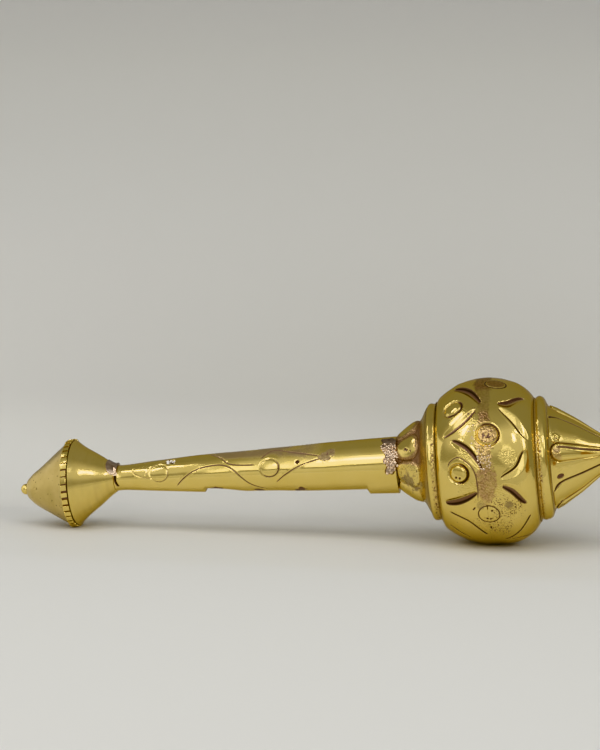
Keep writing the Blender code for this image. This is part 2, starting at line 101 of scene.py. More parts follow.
def onUpperCollar(station, angle, radius):
    lean = tan(lie["crownTilt"]) * ramp(station, *lie["ringSkew"])
    return onMace(station - radius * np.sin(np.radians(angle)) * lean, angle, radius)


def onBall(station, angle, radius):  # the crown side has sunk a little
    return onMace(station, angle, radius, -lie["ballSag"] * ramp(station, 0, lie["ballSagEnd"]))


def onPommel(station, angle, radius):  # here the station is from the rim's middle
    rise = station * (lie["shaftLift"] / lie["neckStation"])
    droop = -lie["pointDroop"] * np.minimum(1, -station / lie["pointDroopLength"])
    return onMace(station - lie["rimToBall"], angle, radius, np.where(station > 0, rise, droop))


# Shapes: soft random fields, paths and turned skins
def ramp(value, low, high):  # 0 at low and 1 at high, whichever of them is the larger
    t = np.clip((value - low) / (high - low), 0, 1)
    return t * t * (3 - 2 * t)


def within(value, start, full, fading, gone):
    return ramp(value, start, full) * ramp(value, gone, fading)


def turnFrom(angle, centre):
    return (angle - centre + 180) % 360 - 180


def turned(path, turn):  # the path further round the axis
    return [(station, angle + turn) for station, angle in path]


def roundPoints(station, angle, radius):
    turn = np.radians(angle)
    return np.stack([station, radius * np.cos(turn), radius * np.sin(turn)], axis=-1)


cellFactors, mixFactor = (374761393, 668265263, 974634777), 1274126177


def hashed(cells, seed):  # a fixed random number from 0 to 1 for each whole-number cell
    n = cells @ np.array(cellFactors) + seed * mixFactor
    n = (n ^ (n >> 13)) * mixFactor
    n = n ^ (n >> 16)
    return (n & 0xFFFFFF) / 0xFFFFFF


def softNoise(points, cell, seed):  # from -1 to 1, changing over one cell
    place = points / np.array(cell)
    base = np.floor(place).astype(np.int64)
    part = place - base
    part = part * part * (3 - 2 * part)
    total = np.zeros(len(points))
    for step in np.ndindex(2, 2, 2):
        weight = np.prod(np.where(step, part, 1 - part), axis=1)
        total += weight * hashed(base + step, seed)
    return 2 * total - 1


def grains(points, cell, seed):  # packed round grains: 1 at a grain's middle, 0 between grains
    place = points / cell
    base = np.floor(place).astype(np.int64)
    nearest = np.full(len(points), 9.0)
    for step in np.ndindex(3, 3, 3):
        corner = base + np.array(step) - 1
        seat = corner + np.stack([hashed(corner, seed + k) for k in range(3)], axis=1)
        nearest = np.minimum(nearest, np.linalg.norm(place - seat, axis=1))
    return np.clip(1 - nearest / 0.75, 0, 1) ** 0.5


def smoothPath(points, perSpan=6):  # a smooth curve through the points
    given = np.array([points[0], *points, points[-1]], dtype=float)
    t = np.linspace(0, 1, perSpan, endpoint=False)[:, None]
    spans = []
    for before, start, end, after in zip(given, given[1:], given[2:], given[3:]):
        bend = (2 * before - 5 * start + 4 * end - after) * t**2
        bend += (3 * start - before - 3 * end + after) * t**3
        spans.append(0.5 * (2 * start + (end - before) * t + bend))
    return np.vstack([*spans, given[-1:]])


def blend(points, station):  # a radius on the smooth curve through (station, radius) points
    path = smoothPath(sorted(points))
    return np.interp(station, path[:, 0], path[:, 1])


markNames = ("recess", "copper", "stain", "pitted", "grain", "bare")


class Skin:  # a turned sheet: a grid of stations and angles with the height chased into it, and its marks
    def __init__(self, stations, radii, columns):
        self.rows, self.columns = len(stations), columns
        self.station = np.repeat(np.asarray(stations, float), columns)
        self.radius = np.repeat(np.asarray(radii, float), columns)
        self.angle = np.tile(np.arange(columns) * 360 / columns, self.rows)
        self.height = np.zeros(self.station.size)
        self.marks = {name: np.zeros(self.station.size) for name in markNames}
        self.points = roundPoints(self.station, self.angle, self.radius)

    def noise(self, cell, seed):
        return softNoise(self.points, cell, seed)

    def around(self, place):  # distance over the surface from a (station, angle) place
        aside = np.radians(turnFrom(self.angle, place[1])) * self.radius
        return np.hypot(self.station - place[0], aside)

    def among(self, spots):  # distance from the nearest of some (place, size) spots, in that spot's size
        return np.min([self.around(place) / size for place, size in spots], axis=0)

    def spot(self, place, size, soft):  # 1 round a place, fading to 0 where it ends
        return ramp(size - self.around(place), 0, soft)

    def beside(self, path, margin):  # the points near a path, their distance, side and how far along it
        (first, low), (last, high) = path.min(axis=0), path.max(axis=0)
        halfTurn = (high - low) / 2 + np.degrees(margin / np.maximum(self.radius, 1))
        near = (self.station > first - margin) & (self.station < last + margin)
        near &= np.abs(turnFrom(self.angle, (high + low) / 2)) < halfTurn
        index = np.flatnonzero(near)
        station, angle, radius = self.station[index], self.angle[index], self.radius[index]
        nearest = np.full(index.size, 1e9)
        side, run = np.zeros(index.size), np.zeros(index.size)
        for count, (start, end) in enumerate(zip(path, path[1:])):
            along, across = end[0] - start[0], radians(end[1] - start[1]) * radius
            ahead = station - start[0]
            aside = np.radians(turnFrom(angle, start[1])) * radius
            t = np.clip((ahead * along + aside * across) / (along**2 + across**2), 0, 1)
            distance = np.hypot(ahead - t * along, aside - t * across)
            closer = distance < nearest
            nearest = np.where(closer, distance, nearest)
            side = np.where(closer, np.sign(along * aside - across * ahead), side)
            run = np.where(closer, (count + t) / (len(path) - 1), run)
        return index, nearest, side, run

    def mark(self, name, amount, index=slice(None)):  # the strongest of what is marked in a place stays
        self.marks[name][index] = np.maximum(self.marks[name][index], amount)


def sheet(piece, start, end, radiusAt):  # a skin between two stations, with the piece's rows and columns
    stations = np.linspace(start, end, piece["rows"])
    return Skin(stations, radiusAt(stations), piece["columns"])


def lineCut(skin, path, width, depth, dark=1, lip=0):  # an engraved line with a V section
    index, distance, side, run = skin.beside(smoothPath(path), 2 * width)
    taper = np.clip(np.minimum(run, 1 - run) * 14, 0.15, 1) ** 0.5
    across = distance / (0.5 * width * taper)
    skin.height[index] -= depth * taper * np.clip(1 - across, 0, 1)
    skin.height[index] += lip * np.exp(-((across - 1.5) / 0.5) ** 2)
    skin.mark("recess", dark * taper * ramp(1 - across, 0.05, 0.6), index)


def chiselCut(skin, path, width, depth, steepSide, floor=0.3, dark=1):
    # a spindle cut: a long polished slope, a tarnished floor and a steep wall with a lip thrown up beside it
    index, distance, side, run = skin.beside(smoothPath(path), width)
    fullness = np.sqrt(np.sin(pi * run).clip(0.02))
    across = 0.5 + side * steepSide * distance / (width * fullness)
    wallFoot = 0.88
    slope = np.clip(across / (wallFoot - floor), 0, 1) * 0.94 + 0.06 * np.clip(across / wallFoot, 0, 1)
    wall = np.clip((1 - across) / (1 - wallFoot), 0, 1)
    skin.height[index] -= depth * fullness * np.minimum(slope, wall)
    skin.height[index] += 0.13 * fullness * np.exp(-((across - 1.12) / 0.1) ** 2)
    onFloor = ramp(across, wallFoot - floor - 0.05, wallFoot - floor + 0.07) * ramp(across, 1.03, 0.95)
    # the floor darkens towards the steep wall's foot: painted shadow over the tarnish
    foot = ramp(across, wallFoot - 0.16, wallFoot - 0.05)
    skin.mark("recess", dark * onFloor * (0.48 + 0.5 * foot) * ramp(fullness, 0.2, 0.5), index)


def ringedDisc(skin, place, radius, width, depth, dome, dark, darkSide=None):
    distance = skin.around(place)
    index = np.flatnonzero(distance < radius + 2 * width)
    away = distance[index]
    groove = np.clip(1 - np.abs(away - radius) / (0.5 * width), 0, 1)
    skin.height[index] -= depth * groove**0.7
    skin.height[index] += dome * np.clip(1 - (away / (radius - 0.4 * width)) ** 2, 0, 1) ** 0.6
    amount = dark * ramp(groove, 0.15, 0.7)
    if darkSide is not None:  # the ring is darker on one side
        aside = np.radians(turnFrom(skin.angle[index], place[1])) * skin.radius[index]
        way = np.degrees(np.arctan2(aside, skin.station[index] - place[0]))
        amount = amount * (0.25 + 0.75 * ramp(np.cos(np.radians(turnFrom(way, darkSide))), -0.2, 0.5))
    skin.mark("recess", amount, index)


# in the crown rib's hollow the darkening is painted shade, not tarnish
def punch(skin, place, pressed, darkened):  # a dent and its tarnish, each a strength, a size and a softness
    skin.height -= pressed[0] * skin.spot(place, *pressed[1:])
    skin.mark("recess", darkened[0] * skin.spot(place, *darkened[1:]))


def newObject(name, data):
    obj = bpy.data.objects.new(name, data)
    bpy.context.scene.collection.objects.link(obj)
    return obj


def makeObject(name, points, faces, marks, material):
    mesh = bpy.data.meshes.new(name)
    mesh.from_pydata(points.tolist(), [], faces)
    for mark, values in marks.items():
        if values.any():
            mesh.attributes.new(mark, "FLOAT", "POINT").data.foreach_set("value", values.astype(np.float32))
    mesh.materials.append(material)
    mesh.shade_smooth()
    mesh.set_sharp_from_angle(angle=radians(62))
    return newObject(name, mesh)


def skinMesh(name, skin, place, material):  # the skin as a closed shell, its ends closed on the axis
    rows, columns = skin.rows, skin.columns
    shell = place(skin.station, skin.angle, skin.radius + skin.height)
    ends = [place(skin.station[[row]], np.zeros(1), np.zeros(1)) for row in (0, -1)]
    first = np.arange(rows * columns).reshape(rows, columns)
    following = np.roll(first, -1, axis=1)
    quads = np.stack([first[:-1], following[:-1], following[1:], first[1:]], axis=-1).reshape(-1, 4)
    bottom = np.stack([following[0], first[0], np.full(columns, rows * columns)], axis=-1)
    top = np.stack([first[-1], following[-1], np.full(columns, rows * columns + 1)], axis=-1)
    marks = {key: np.append(values, [0, 0]) for key, values in skin.marks.items()}
    faces = quads.tolist() + bottom.tolist() + top.tolist()
    return makeObject(name, np.vstack([shell, *ends]), faces, marks, material)


def finished(piece, *nodes, slotName="polished_brass"):  # rides on the root; hides the frame nodes it replaces
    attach(piece, "root")
    if nodes:
        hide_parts(*nodes)
    return piece


# Materials
def hexColour(code):
    channels = [int(code[i:i + 2], 16) / 255 for i in (1, 3, 5)]
    return (*[c / 12.92 if c <= 0.04045 else ((c + 0.055) / 1.055) ** 2.4 for c in channels], 1)


def perMetre(size):  # the scale of a pattern whose cells are this many millimetres
    return 1 / (size * mm)


def feed(node, inputs):
    # sets or joins a node's inputs, by name or in order; another node stands for its first output in use
    for name, value in inputs.items() if isinstance(inputs, dict) else enumerate(inputs):
        if isinstance(value, bpy.types.Node):
            value = next(output for output in value.outputs if output.enabled)
        if isinstance(value, bpy.types.NodeSocket):
            node.id_data.links.new(value, node.inputs[name])
        else:
            node.inputs[name].default_value = hexColour(value) if str(value).startswith("#") else value


def addNode(tree, kind, inputs=(), **settings):  # a shader node's kind is given without its prefix
    node = tree.nodes.new(kind if "Node" in kind else "ShaderNode" + kind)
    for name, value in settings.items():
        setattr(node, name, value)
    feed(node, inputs)
    return node


def newMaterial(name):
    material = bpy.data.materials.new(name)
    material.use_nodes = True
    add = partial(addNode, material.node_tree)
    return material, add, material.node_tree.nodes["Principled BSDF"], add("TexCoord").outputs["Object"]


# Polished sheet brass, hand chased and buffed under a thin clear lacquer: a pale greenish gold mirror with a
# soft haze, purple-brown oxide left in the cuts, brown heat stains and copper braze where it was joined.
# The purple-brown and near-black also serve as painted shade: at the feet of steep walls, in hollows,
# between grains and where parts meet.
brass = {
    "light": "#F1D98B",
    "deep": "#EACF78",
    "edge": "#F6E4B4",
    "oxideAndShade": "#7A5C50",
    "deepOxideAndShade": "#24150D",
    "copper": "#D2A684",
    "copperDark": "#7F5A42",
    "stain": "#867262",
    "stainBrown": "#685448",
    "bare": "#F2EEE8",
    "patterns": ((11, 2), (5, 4), (0.9, 3), (0.62, 2)),  # size and detail of tone, haze, grain and pits
    "roughness": (0.08, 0.16),
    "tarnishRoughness": 0.34,
    "lacquer": 0.12,
    "lacquerRoughness": 0.05,
}


def makeBrass():
    material, add, shader, coords = newMaterial("polished_sheet_brass")
    mark = {name: add("Attribute", attribute_name=name).outputs["Fac"] for name in markNames}
    tone, haze, fine, pits = [
        add("TexNoise", {"Vector": coords, "Scale": perMetre(size), "Detail": detail})
        for size, detail in brass["patterns"]]
    mottle = add("MapRange", (fine, 0.35, 0.65))
    # small dark pits where a fine noise rises over a level that sinks as the mark grows
    level = add("MapRange", (mark["pitted"], 0, 1, 0.86, 0.53))
    above = add("Math", (pits, level), operation="SUBTRACT")
    pit = add("MapRange", (above, 0, 0.07, 0, 0.7))
    # the recess mark with the pits: oxide in the cuts and pits, and painted shade where a recess mark stands
    # for it
    oxideAndShade = add("Math", (mark["recess"], pit), operation="MAXIMUM")
    thin = add("MapRange", (oxideAndShade, 0.05, 0.5))
    thick = add("MapRange", (oxideAndShade, 0.55, 1))
    blends = ((tone, "light", "deep"), (mottle, "copper", "copperDark"), (haze, "stain", "stainBrown"))
    colour, brazed, stained = [
        add("Mix", {0: share, 6: brass[first], 7: brass[second]}, data_type="RGBA")
        for share, first, second in blends]
    for share, layer in ((mark["copper"], brazed), (mark["stain"], stained), (mark["bare"], brass["bare"]),
                         (thin, brass["oxideAndShade"]), (thick, brass["deepOxideAndShade"])):
        colour = add("Mix", {0: share, 6: colour, 7: layer}, data_type="RGBA")
    metal = add("MapRange", (thin, 0, 1, 1, 0.55))
    filmed = add("Math", (mark["stain"], 0.7), operation="MULTIPLY")
    covered = add("Math", (filmed, mark["bare"]), operation="MAXIMUM")
    low, high = brass["roughness"]
    smooth = add("MapRange", (haze, 0.3, 0.7, low, high))
    dull = add("Math", (mark["copper"], 0.6), operation="MULTIPLY")
    for mask in (mark["stain"], thin):
        dull = add("Math", (dull, mask), operation="MAXIMUM")
    raised = add("Math", (mark["grain"], mark["copper"]), operation="MAXIMUM")
    raised = add("Math", (raised, 0.012), operation="MAXIMUM")
    feed(shader, {
        "Base Color": colour,
        "Metallic": add("Math", (metal, covered), operation="SUBTRACT"),
        "Roughness": add("Mix", {0: dull, 2: smooth, 3: brass["tarnishRoughness"]}),
        "Normal": add("Bump", {"Strength": raised, "Distance": 0.55 * mm, "Height": fine}),
        "Specular Tint": brass["edge"],
        "Coat Weight": brass["lacquer"],
        "Coat Roughness": brass["lacquerRoughness"],
    })
    return material


# Dull brass: the back cone was never buffed, so it has an even beige bloom and no clear reflections.
dullBrass = {"light": "#DDC586", "deep": "#C4AD6B", "speck": "#6E5A30", "patchSize": 6, "speckSize": 2.6}


def makeDullBrass():
    material, add, shader, coords = newMaterial("bloomed_sheet_brass")
    tone = add("TexNoise", {"Vector": coords, "Scale": perMetre(dullBrass["patchSize"]), "Detail": 5})
    specks = add("TexVoronoi", {"Vector": coords, "Scale": perMetre(dullBrass["speckSize"])})
    spot = add("MapRange", (specks, 0.16, 0.08))
    colour = add("Mix", {0: tone, 6: dullBrass["light"], 7: dullBrass["deep"]}, data_type="RGBA")
    colour = add("Mix", {0: spot, 6: colour, 7: dullBrass["speck"]}, data_type="RGBA")
    rough = add("MapRange", (tone, 0.3, 0.7, 0.28, 0.4))
    feed(shader, {"Base Color": colour, "Roughness": rough, "Metallic": 1})
    return material


# Copper braze: melted and left as it set, pinkish and lumpy; brown flux and painted shade between the lumps.
braze = {"light": "#FCE8D0", "mid": "#E0BE9A", "dark": "#553A2E", "patchSize": 1.6}


def makeBraze():
    material, add, shader, coords = newMaterial("copper_braze")
    tone = add("TexNoise", {"Vector": coords, "Scale": perMetre(braze["patchSize"]), "Detail": 4})
    hollow = add("Attribute", attribute_name="recess").outputs["Fac"]
    colour = add("Mix", {0: tone, 6: braze["light"], 7: braze["mid"]}, data_type="RGBA")
    colour = add("Mix", {0: hollow, 6: colour, 7: braze["dark"]}, data_type="RGBA")
    rough = add("MapRange", (tone, 0.3, 0.7, 0.1, 0.28))
    bump = add("Bump", {"Strength": 0.5, "Distance": 0.2 * mm, "Height": tone})
    feed(shader, {"Base Color": colour, "Roughness": rough, "Metallic": 1, "Normal": bump})
    return material


polishedBrass = makeBrass()
bloomedBrass = makeDullBrass()
copperBraze = makeBraze()
print("materials made")

# The ball
ball = {
    "radius": 42.3,
    "halfLength": 38.4,
    "end": -25,
    "endRadius": 30.4,
    "tuckStation": -23,
    "crownSide": ((-0.4, 42.3), (2.9, 42.3), (8, 41.9), (12.3, 40.9), (15.2, 39.8), (17.3, 38.6),
                  (19.4, 37.1), (21.5, 35.1), (23, 33.1), (24.1, 31.4)),
    "seam": -0.5,
    "rows": 100,
    "columns": 720,
    "cutWidth": 4.6,
    "cutDepth": 1.25,
    "fineWidth": 1.3,
    "fineDepth": 0.5,
    "granularDisc": (1.8, 23.8),
    "topDisc": (5.8, 72),
    "arc": ((-18.5, 3), (-16.9, 6.9), (-12.8, 9.1), (-7.3, 3.1), (-5, -3.5), (-4.4, -13.4), (-4.8, -21)),
    "specks": ((-14.6, -5), (-12.8, -5.4), (-1, -36.2), (0.6, -36.6), (1.6, -29.6)),
    "nicks": ((((0.2, -44), (0.3, -47)), 0.25), (((-7.6, -29), (-6.4, -27)), 0.3)),
}
# Each cross is four cuts: (station, angle from the cross) points, then the share of the width that is
# tarnished floor and how dark it is. Those at the front were set one by one.
plainCuts = (
    (((-1.7, 6), (-8.5, 20), (-16.5, 30.5)), 0.3, 0.9),
    (((6.8, 2), (14, 6), (20, 19)), 0.3, 0.9),
    (((-4.2, -4), (-12, -12.5), (-21, -20)), 0.3, 0.9),
    (((7.6, -2), (14, -8), (20, -21.5)), 0.3, 0.9),
)
crosses = {
    46: (
        (((-1.4, 2), (-8.2, 18), (-15.5, 31)), 0.44, 1),
        (((6.9, 2), (12.8, 4), (20.2, 16.5)), 0.34, 0.8),
        (((-4, -2.5), (-11.7, -12), (-20.3, -19.5)), 0.36, 1),
        (((7.7, -1), (14.4, -9), (20.7, -23.3)), 0.12, 1),
    ),
    -8: (
        (((-1.8, 7.6), (-8.6, 21), (-16.4, 30)), 0.42, 1),
        (((7, 1.6), (15.8, 8.4), (19.2, 21.3)), 0.16, 1),
        (((-4.7, -7), (-14.5, -15), (-21.5, -20)), 0.5, 1),
        (((7.6, -2.5), (13.3, -7), (18.9, -20)), 0.42, 1),
    ),
    -61: (  # without a floor: only engraved
        (((-2, 6), (-9.9, 20), (-19.5, 25)), 0, 0.9),
        (((6.3, -3), (13.9, 7), (19.8, 20)), 0, 0.9),
        (((-10.9, -3), (-20.5, 6)), 0, 0.8),
        (((7, -4), (13.8, -5), (21, -17)), 0, 0.7),
    ),
    **dict.fromkeys((99, 149, 199, 247), plainCuts),
}
# Each disc's place, then its ring's radius, width and depth, the dome's height, how dark it is and where
plainRing = (5.2, 1.1, 0.45, 0.25, 0.8, 20)
discs = {
    ball["granularDisc"]: (5.5, 1.5, 0.8, 0.1, 0.85, 35),
    ball["topDisc"]: (5.2, 1.1, 0.45, 0.25, 1),
    **dict.fromkeys(((2, 124), (1, 174), (2.5, 222), (-3, 270)), plainRing),
    (0, -32.7): (5.2, 0.8, 0.3, 0.12, 0.9),
}
sideRing = (4.7, 1.8, 0.95, 0.85, 0.95, -10)
sideDiscs = {
    (-15.2, 49.7): (4.6, 1.8, 0.8, 0.7, 0.9, -35),
    **dict.fromkeys(((-13.3, -2.5), (-14.3, 104), (-14.3, 154), (-14.3, 204), (-14.3, 252)), sideRing),
}
# Braze over the seam: the angle, and the stations it covers there
seamBraze = np.array((
    (-180, -3.2, 2.4), (-150, -2.6, 2.8), (-118, -2, 1.6), (-104, -0.6, -0.4), (-46, -0.6, -0.4),
    (-26, -1.2, 0.2), (-21, -3.4, 2.4), (-14, -5, 4.8), (-3, -5.2, 4.6), (2, -3, 3.2), (12, -4.4, 3.6),
    (24, -4.5, 4), (34, -3.2, 3), (40, -2.4, 2.6), (56, -4.4, 3.2), (72, -5, 3.8), (110, -4.2, 3.2),
    (150, -3, 2.6), (180, -3.2, 2.4),
))
# Where the sheet is worn, mark by mark: the place, how far it spreads and its strength
ballWear = {
    "grain": (
        ((10.5, 9.5), 6.2, 1), ((-10, 10.5), 5.4, 1), ((-5.6, 33), 3, 0.8), ((-11, -14), 6.5, 0.7),
        ((9, -26), 14, 0.75), ((-9, -38), 9, 0.6), ((2, -48), 12, 0.6), ((-4, -12), 4.5, 0.8),
    ),
    "pitted": (
        ((-4, -42), 10, 0.8), ((8, -27), 11, 0.95), ((6, -44), 13, 0.88), ((14, -36), 7, 0.75),
        ((-6.3, 38.5), 3.6, 1), ((-7.4, 29), 3, 1), ((-4.2, 44), 2.2, 0.9), ((-12, -14), 6, 0.62),
        ((-5, -22), 3.4, 0.8), ((-16, -46), 2.6, 0.8),
    ),
    "stain": (((10, -25), 2.8, 0.6), ((-3.6, -25.5), 2.6, 0.4)),
}


def ballRadius(station):  # an oval, pulled in beside the lower collar and fuller towards the upper one
    full = ball["radius"] * np.sqrt(1 - (station / ball["halfLength"]) ** 2)
    tuck = np.clip((station - ball["tuckStation"]) / (ball["end"] - ball["tuckStation"]), 0, 1)
    endFull = ball["radius"] * sqrt(1 - (ball["end"] / ball["halfLength"]) ** 2)
    shaftSide = full - (endFull - ball["endRadius"]) * tuck**2
    return np.where(station > ball["seam"], blend(ball["crownSide"], station), shaftSide)


def chaseBall(skin):
    for cross, cuts in crosses.items():
        for number, (cut, floor, dark) in enumerate(cuts):
            if floor == 0:
                lineCut(skin, turned(cut, cross), ball["fineWidth"], ball["fineDepth"], dark)
            else:  # the steep wall is on the side away from the cross
                steep = -1 if number in (0, 3) else 1
                chiselCut(skin, turned(cut, cross), ball["cutWidth"], ball["cutDepth"], steep, floor, dark)
    for place, ring in (*discs.items(), *sideDiscs.items()):
        ringedDisc(skin, place, *ring)
    lineCut(skin, ball["arc"], 0.8, 0.25, dark=0.6)
    for place in ball["specks"]:
        punch(skin, place, (0.35, 0.75, 0.5), (0.85, 0.7, 0.35))
    for nick, depth in ball["nicks"]:
        lineCut(skin, nick, 0.9, depth)


def coverSeam(skin):  # braze flush with the sheet over the seam, with a ragged edge
    angle = turnFrom(skin.angle, 0)
    low, high = [np.interp(angle, seamBraze[:, 0], edge) for edge in (seamBraze[:, 1], seamBraze[:, 2])]
    ragged = 1.1 * skin.noise(2.2, 11) + 0.6 * skin.noise(0.9, 12)
    inside = np.minimum(skin.station - low, high - skin.station) + ragged * ramp(high - low, 0.3, 3)
    wide = ramp(high - low, 0.5, 3)
    # thin and see-through between the top and middle discs, patchy under the middle one
    streaks = 0.5 + 0.5 * skin.noise((0.8, 5, 5), 13)
    thin = within(angle, 38, 44, 60, 66)
    patchy = within(angle, -60, -40, -4, 1)
    warm = within(angle, -24, -20, -4, -1)
    lumpy = within(angle, -2, 3, 31, 37)
    mottle = ramp(skin.noise(1.6, 14) + 0.6 * skin.noise(0.7, 15), -0.7, 0.5)
    missing = patchy * (0.1 + (0.5 - 0.25 * warm) * (1 - mottle))
    strength = 0.85 - thin * (0.6 - 0.25 * streaks) - 0.3 * lumpy - missing
    inTop = skin.spot(ball["topDisc"], 4.7, 0.6)
    inMiddle = skin.spot(ball["granularDisc"], 4.9, 0.6)
    amount = ramp(inside, -0.5, 1.2) * wide * strength
    amount = np.maximum(amount * ramp(skin.around(ball["topDisc"]), 5, 6.2), 0.8 * inTop)
    amount = np.maximum(amount * ramp(skin.around(ball["granularDisc"]), 5.8, 6.8), 0.6 * inMiddle)
    skin.mark("copper", amount)
    rough = grains(skin.points, 1.3, 31)
    skin.height += amount * (0.5 * lumpy * rough + 0.06 * patchy * skin.noise(1.1, 16) - 0.05)
    # dark between the braze grains: brown flux and painted shade
    skin.mark("recess", np.maximum(amount * lumpy, inMiddle) * 0.6 * ramp(rough, 0.4, 0.15))
    bareSeam = (1 - wide) * np.clip(1 - np.abs(skin.station - ball["seam"]) / 0.35, 0, 1)
    cracked = within(angle, -29, -27.5, -22, -20.5)
    skin.height -= 0.6 * bareSeam * cracked
    skin.mark("recess", bareSeam * np.maximum(cracked, 0.12))


def wearBall(skin):
    skin.height -= 0.5
    for place in discs:  # the sheet swells towards each disc
        skin.height += 0.35 * np.exp(-(skin.around(place) / 10) ** 2)
    skin.height += 0.07 * skin.noise(9, 3) + 0.015 * skin.noise(3.5, 4)
    spread = skin.noise(4, 21)
    for name, places in ballWear.items():
        for place, size, amount in places:
            skin.mark(name, amount * ramp(1 - skin.around(place) / size - 0.35 * spread, 0, 0.6))
    skin.mark("grain", 0.04)
    # painted shade where the ball tucks in beside the collars
    tucked = np.maximum(ball["end"] - skin.station, skin.station - ball["crownSide"][-1][0])
    skin.mark("recess", 0.3 * ramp(tucked, -1.6, -0.4))
    skin.height += skin.marks["grain"] * (0.04 * skin.noise(1.1, 22) + 0.03 * skin.noise(0.7, 23))


def makeBallHalf(name, start, end):
    skin = sheet(ball, start, end, ballRadius)
    wearBall(skin)
    coverSeam(skin)
    chaseBall(skin)
    return skinMesh(name, skin, onBall, polishedBrass)


finished(makeBallHalf("ballShaftSide", ball["end"], ball["seam"] - 0.01), "ball_lower_half")
finished(makeBallHalf("ballCrownSide", ball["seam"] + 0.01, ball["crownSide"][-1][0]), "ball_upper_half")
print("ball chased")

# The collars
collar = {
    "columns": 480,
    "lower": ((-30, 27.1), (-29.9, 27.9), (-29.4, 28.9), (-28.6, 29.5), (-27.7, 29.6), (-26.7, 29.4),
              (-25.8, 29.5), (-25.1, 30.3)),
    "upper": ((24.15, 31.3), (24.6, 30.7), (25.2, 30.6), (25.9, 31), (26.9, 31.1), (28.3, 30.7),
              (29.3, 29.9), (30, 28.7), (30.5, 27.4), (30.95, 26.6)),
}


def wearRing(skin, brazeStation, low, high, seed):  # a granular line of solder on the ball's side of the ring
    skin.height += 0.05 * skin.noise((3, 8, 8), seed)
    spread = 0.5 * skin.noise(2, seed + 2)
    line = np.clip(1.3 - np.abs(skin.station - brazeStation + 0.4 * spread) / 1.25, 0, 1)
    angle = turnFrom(skin.angle, 0)
    shown = ramp(angle + 8 * spread, low - 8, low + 8) * ramp(angle, high + 10, high - 10)
    rough = grains(skin.points, 0.95, seed)
    skin.height += 0.28 * line * shown * rough
    skin.mark("copper", 0.25 * line * np.maximum(shown, 0.35))
    # dark between the grains of the solder line: brown flux and painted shade
    skin.mark("recess", 0.5 * line * np.maximum(shown, 0.2) * ramp(rough, 0.45, 0.15))
    # painted shade along both edges of the ring, where it meets the pieces beside it
    edge = np.minimum(skin.station - skin.station.min(), skin.station.max() - skin.station)
    skin.mark("recess", 0.3 * ramp(edge, 1.2, 0.3))
    skin.mark("grain", 0.8 * line * shown)


def ringSkin(outline):
    return Skin(*smoothPath(outline, 4).T, collar["columns"])


lowerRing = ringSkin(collar["lower"])
wearRing(lowerRing, brazeStation=-26.4, low=-75, high=30, seed=41)
finished(skinMesh("lowerCollar", lowerRing, onLowerCollar, polishedBrass), "lower_collar")

upperRing = ringSkin(collar["upper"])  # its solder follows the ball's edge down
upperRing.height -= lie["ballSag"] * np.sin(np.radians(upperRing.angle)) * ramp(upperRing.station, 25.2, 24.2)
wearRing(upperRing, brazeStation=25.7, low=-85, high=30, seed=42)
finished(skinMesh("upperCollar", upperRing, onUpperCollar, polishedBrass), "upper_collar")
print("collars made")

# The crown
crown = {
    "start": lie["crownFoot"],
    "top": 69.6,
    "radius": 26,
    "topRadius": 2.4,
    "flare": 0.9,
    "flareLength": 3.6,
    "waist": 1.1,
    "waistStations": (43, 57),
    "rows": 130,
    "columns": 440,
    "broadPetal": (23, 63.5),
    "ribMiddle": 11.5,
    "ribHalfWidth": 11.5,
    "ribHeight": 2.1,
    "ribEnd": (31.5, 5),  # where its round end starts, and how long the rounding is
    "broadHeight": 0.6,
    "footRounding": 2.2,
    "crease": ((31.3, -35.5), (32.6, -31.8), (34.2, -28.8), (36.2, -26.9), (40, -26.5), (52, -26.5),
               (66, -26.5)),
    "comma": ((32.2, -33.2), (33.7, -30.4), (35.6, -28)),
    "fold": ((34.6, 17.2), (37.5, 17.6), (45, 15.8), (56, 14.6), (66, 13.4)),
    "petalPlaces": ((35.1, -19), (34.3, 29.5), (34.3, 14.6)),  # a dot, a boss and the hollow in the rib's end
}


def crownRadius(station):
    up = (station - crown["start"]) / (crown["top"] - crown["start"])
    flare = crown["flare"] * np.clip(1 - (station - crown["start"]) / crown["flareLength"], 0, 1) ** 2
    low, high = crown["waistStations"]
    waist = crown["waist"] * within(station, low, high, high, crown["top"])
    return crown["radius"] + (crown["topRadius"] - crown["radius"]) * up + flare - waist


def chaseCrown(skin):
    turn = skin.angle % 90
    scale = skin.radius / crown["radius"]
    fade = 1 - ramp(skin.station, crown["top"] - 5, crown["top"])
    ribStart, ribRound = crown["ribEnd"]
    toEnd = np.clip((ribStart + ribRound - skin.station) / ribRound, 0, None)
    fromRib = turnFrom(turn * 4, crown["ribMiddle"] * 4) / 4
    egg = np.hypot(toEnd, fromRib / crown["ribHalfWidth"])
    skin.height += crown["ribHeight"] * scale * fade * np.sqrt(np.clip(1 - egg**2, 0, 1))
    outline = np.clip(1 - np.abs(egg - 1.03) / 0.13, 0, 1)
    skin.height -= 0.7 * scale * fade * outline
    # a dark line round the rib's end, much darker on the rib's upper side as painted shadow
    skin.mark("recess", fade * ramp(outline, 0.1, 0.7) * (0.22 + 0.65 * ramp(fromRib, -7.5, 7.5)))
    low, high = crown["broadPetal"]
    broad = np.sin(pi * np.clip((turn - low) / (high - low), 0, 1))
    skin.height += scale * fade * crown["broadHeight"] * (np.sqrt(broad) - 1)
    rounding = np.clip((crown["start"] + crown["footRounding"] - skin.station) / crown["footRounding"], 0, 1)
    onPetal = within(turn, low + 2, low + 6, high - 12, high - 4)
    skin.height -= 1.3 * onPetal * (1 - np.sqrt(1 - rounding**2))
    skin.height += 0.06 * skin.noise((9, 6, 6), 51) * fade
    skin.mark("grain", 0.25 * ramp(skin.noise(5, 52), -0.2, 0.6))
    skin.mark("copper", 0.5 * ramp(1 - skin.around((33.6, 8)) / 4 - 0.4 * skin.noise(2, 54), 0, 0.6))
    skin.marks["recess"] *= 0.85 + 0.3 * skin.noise(3, 53)


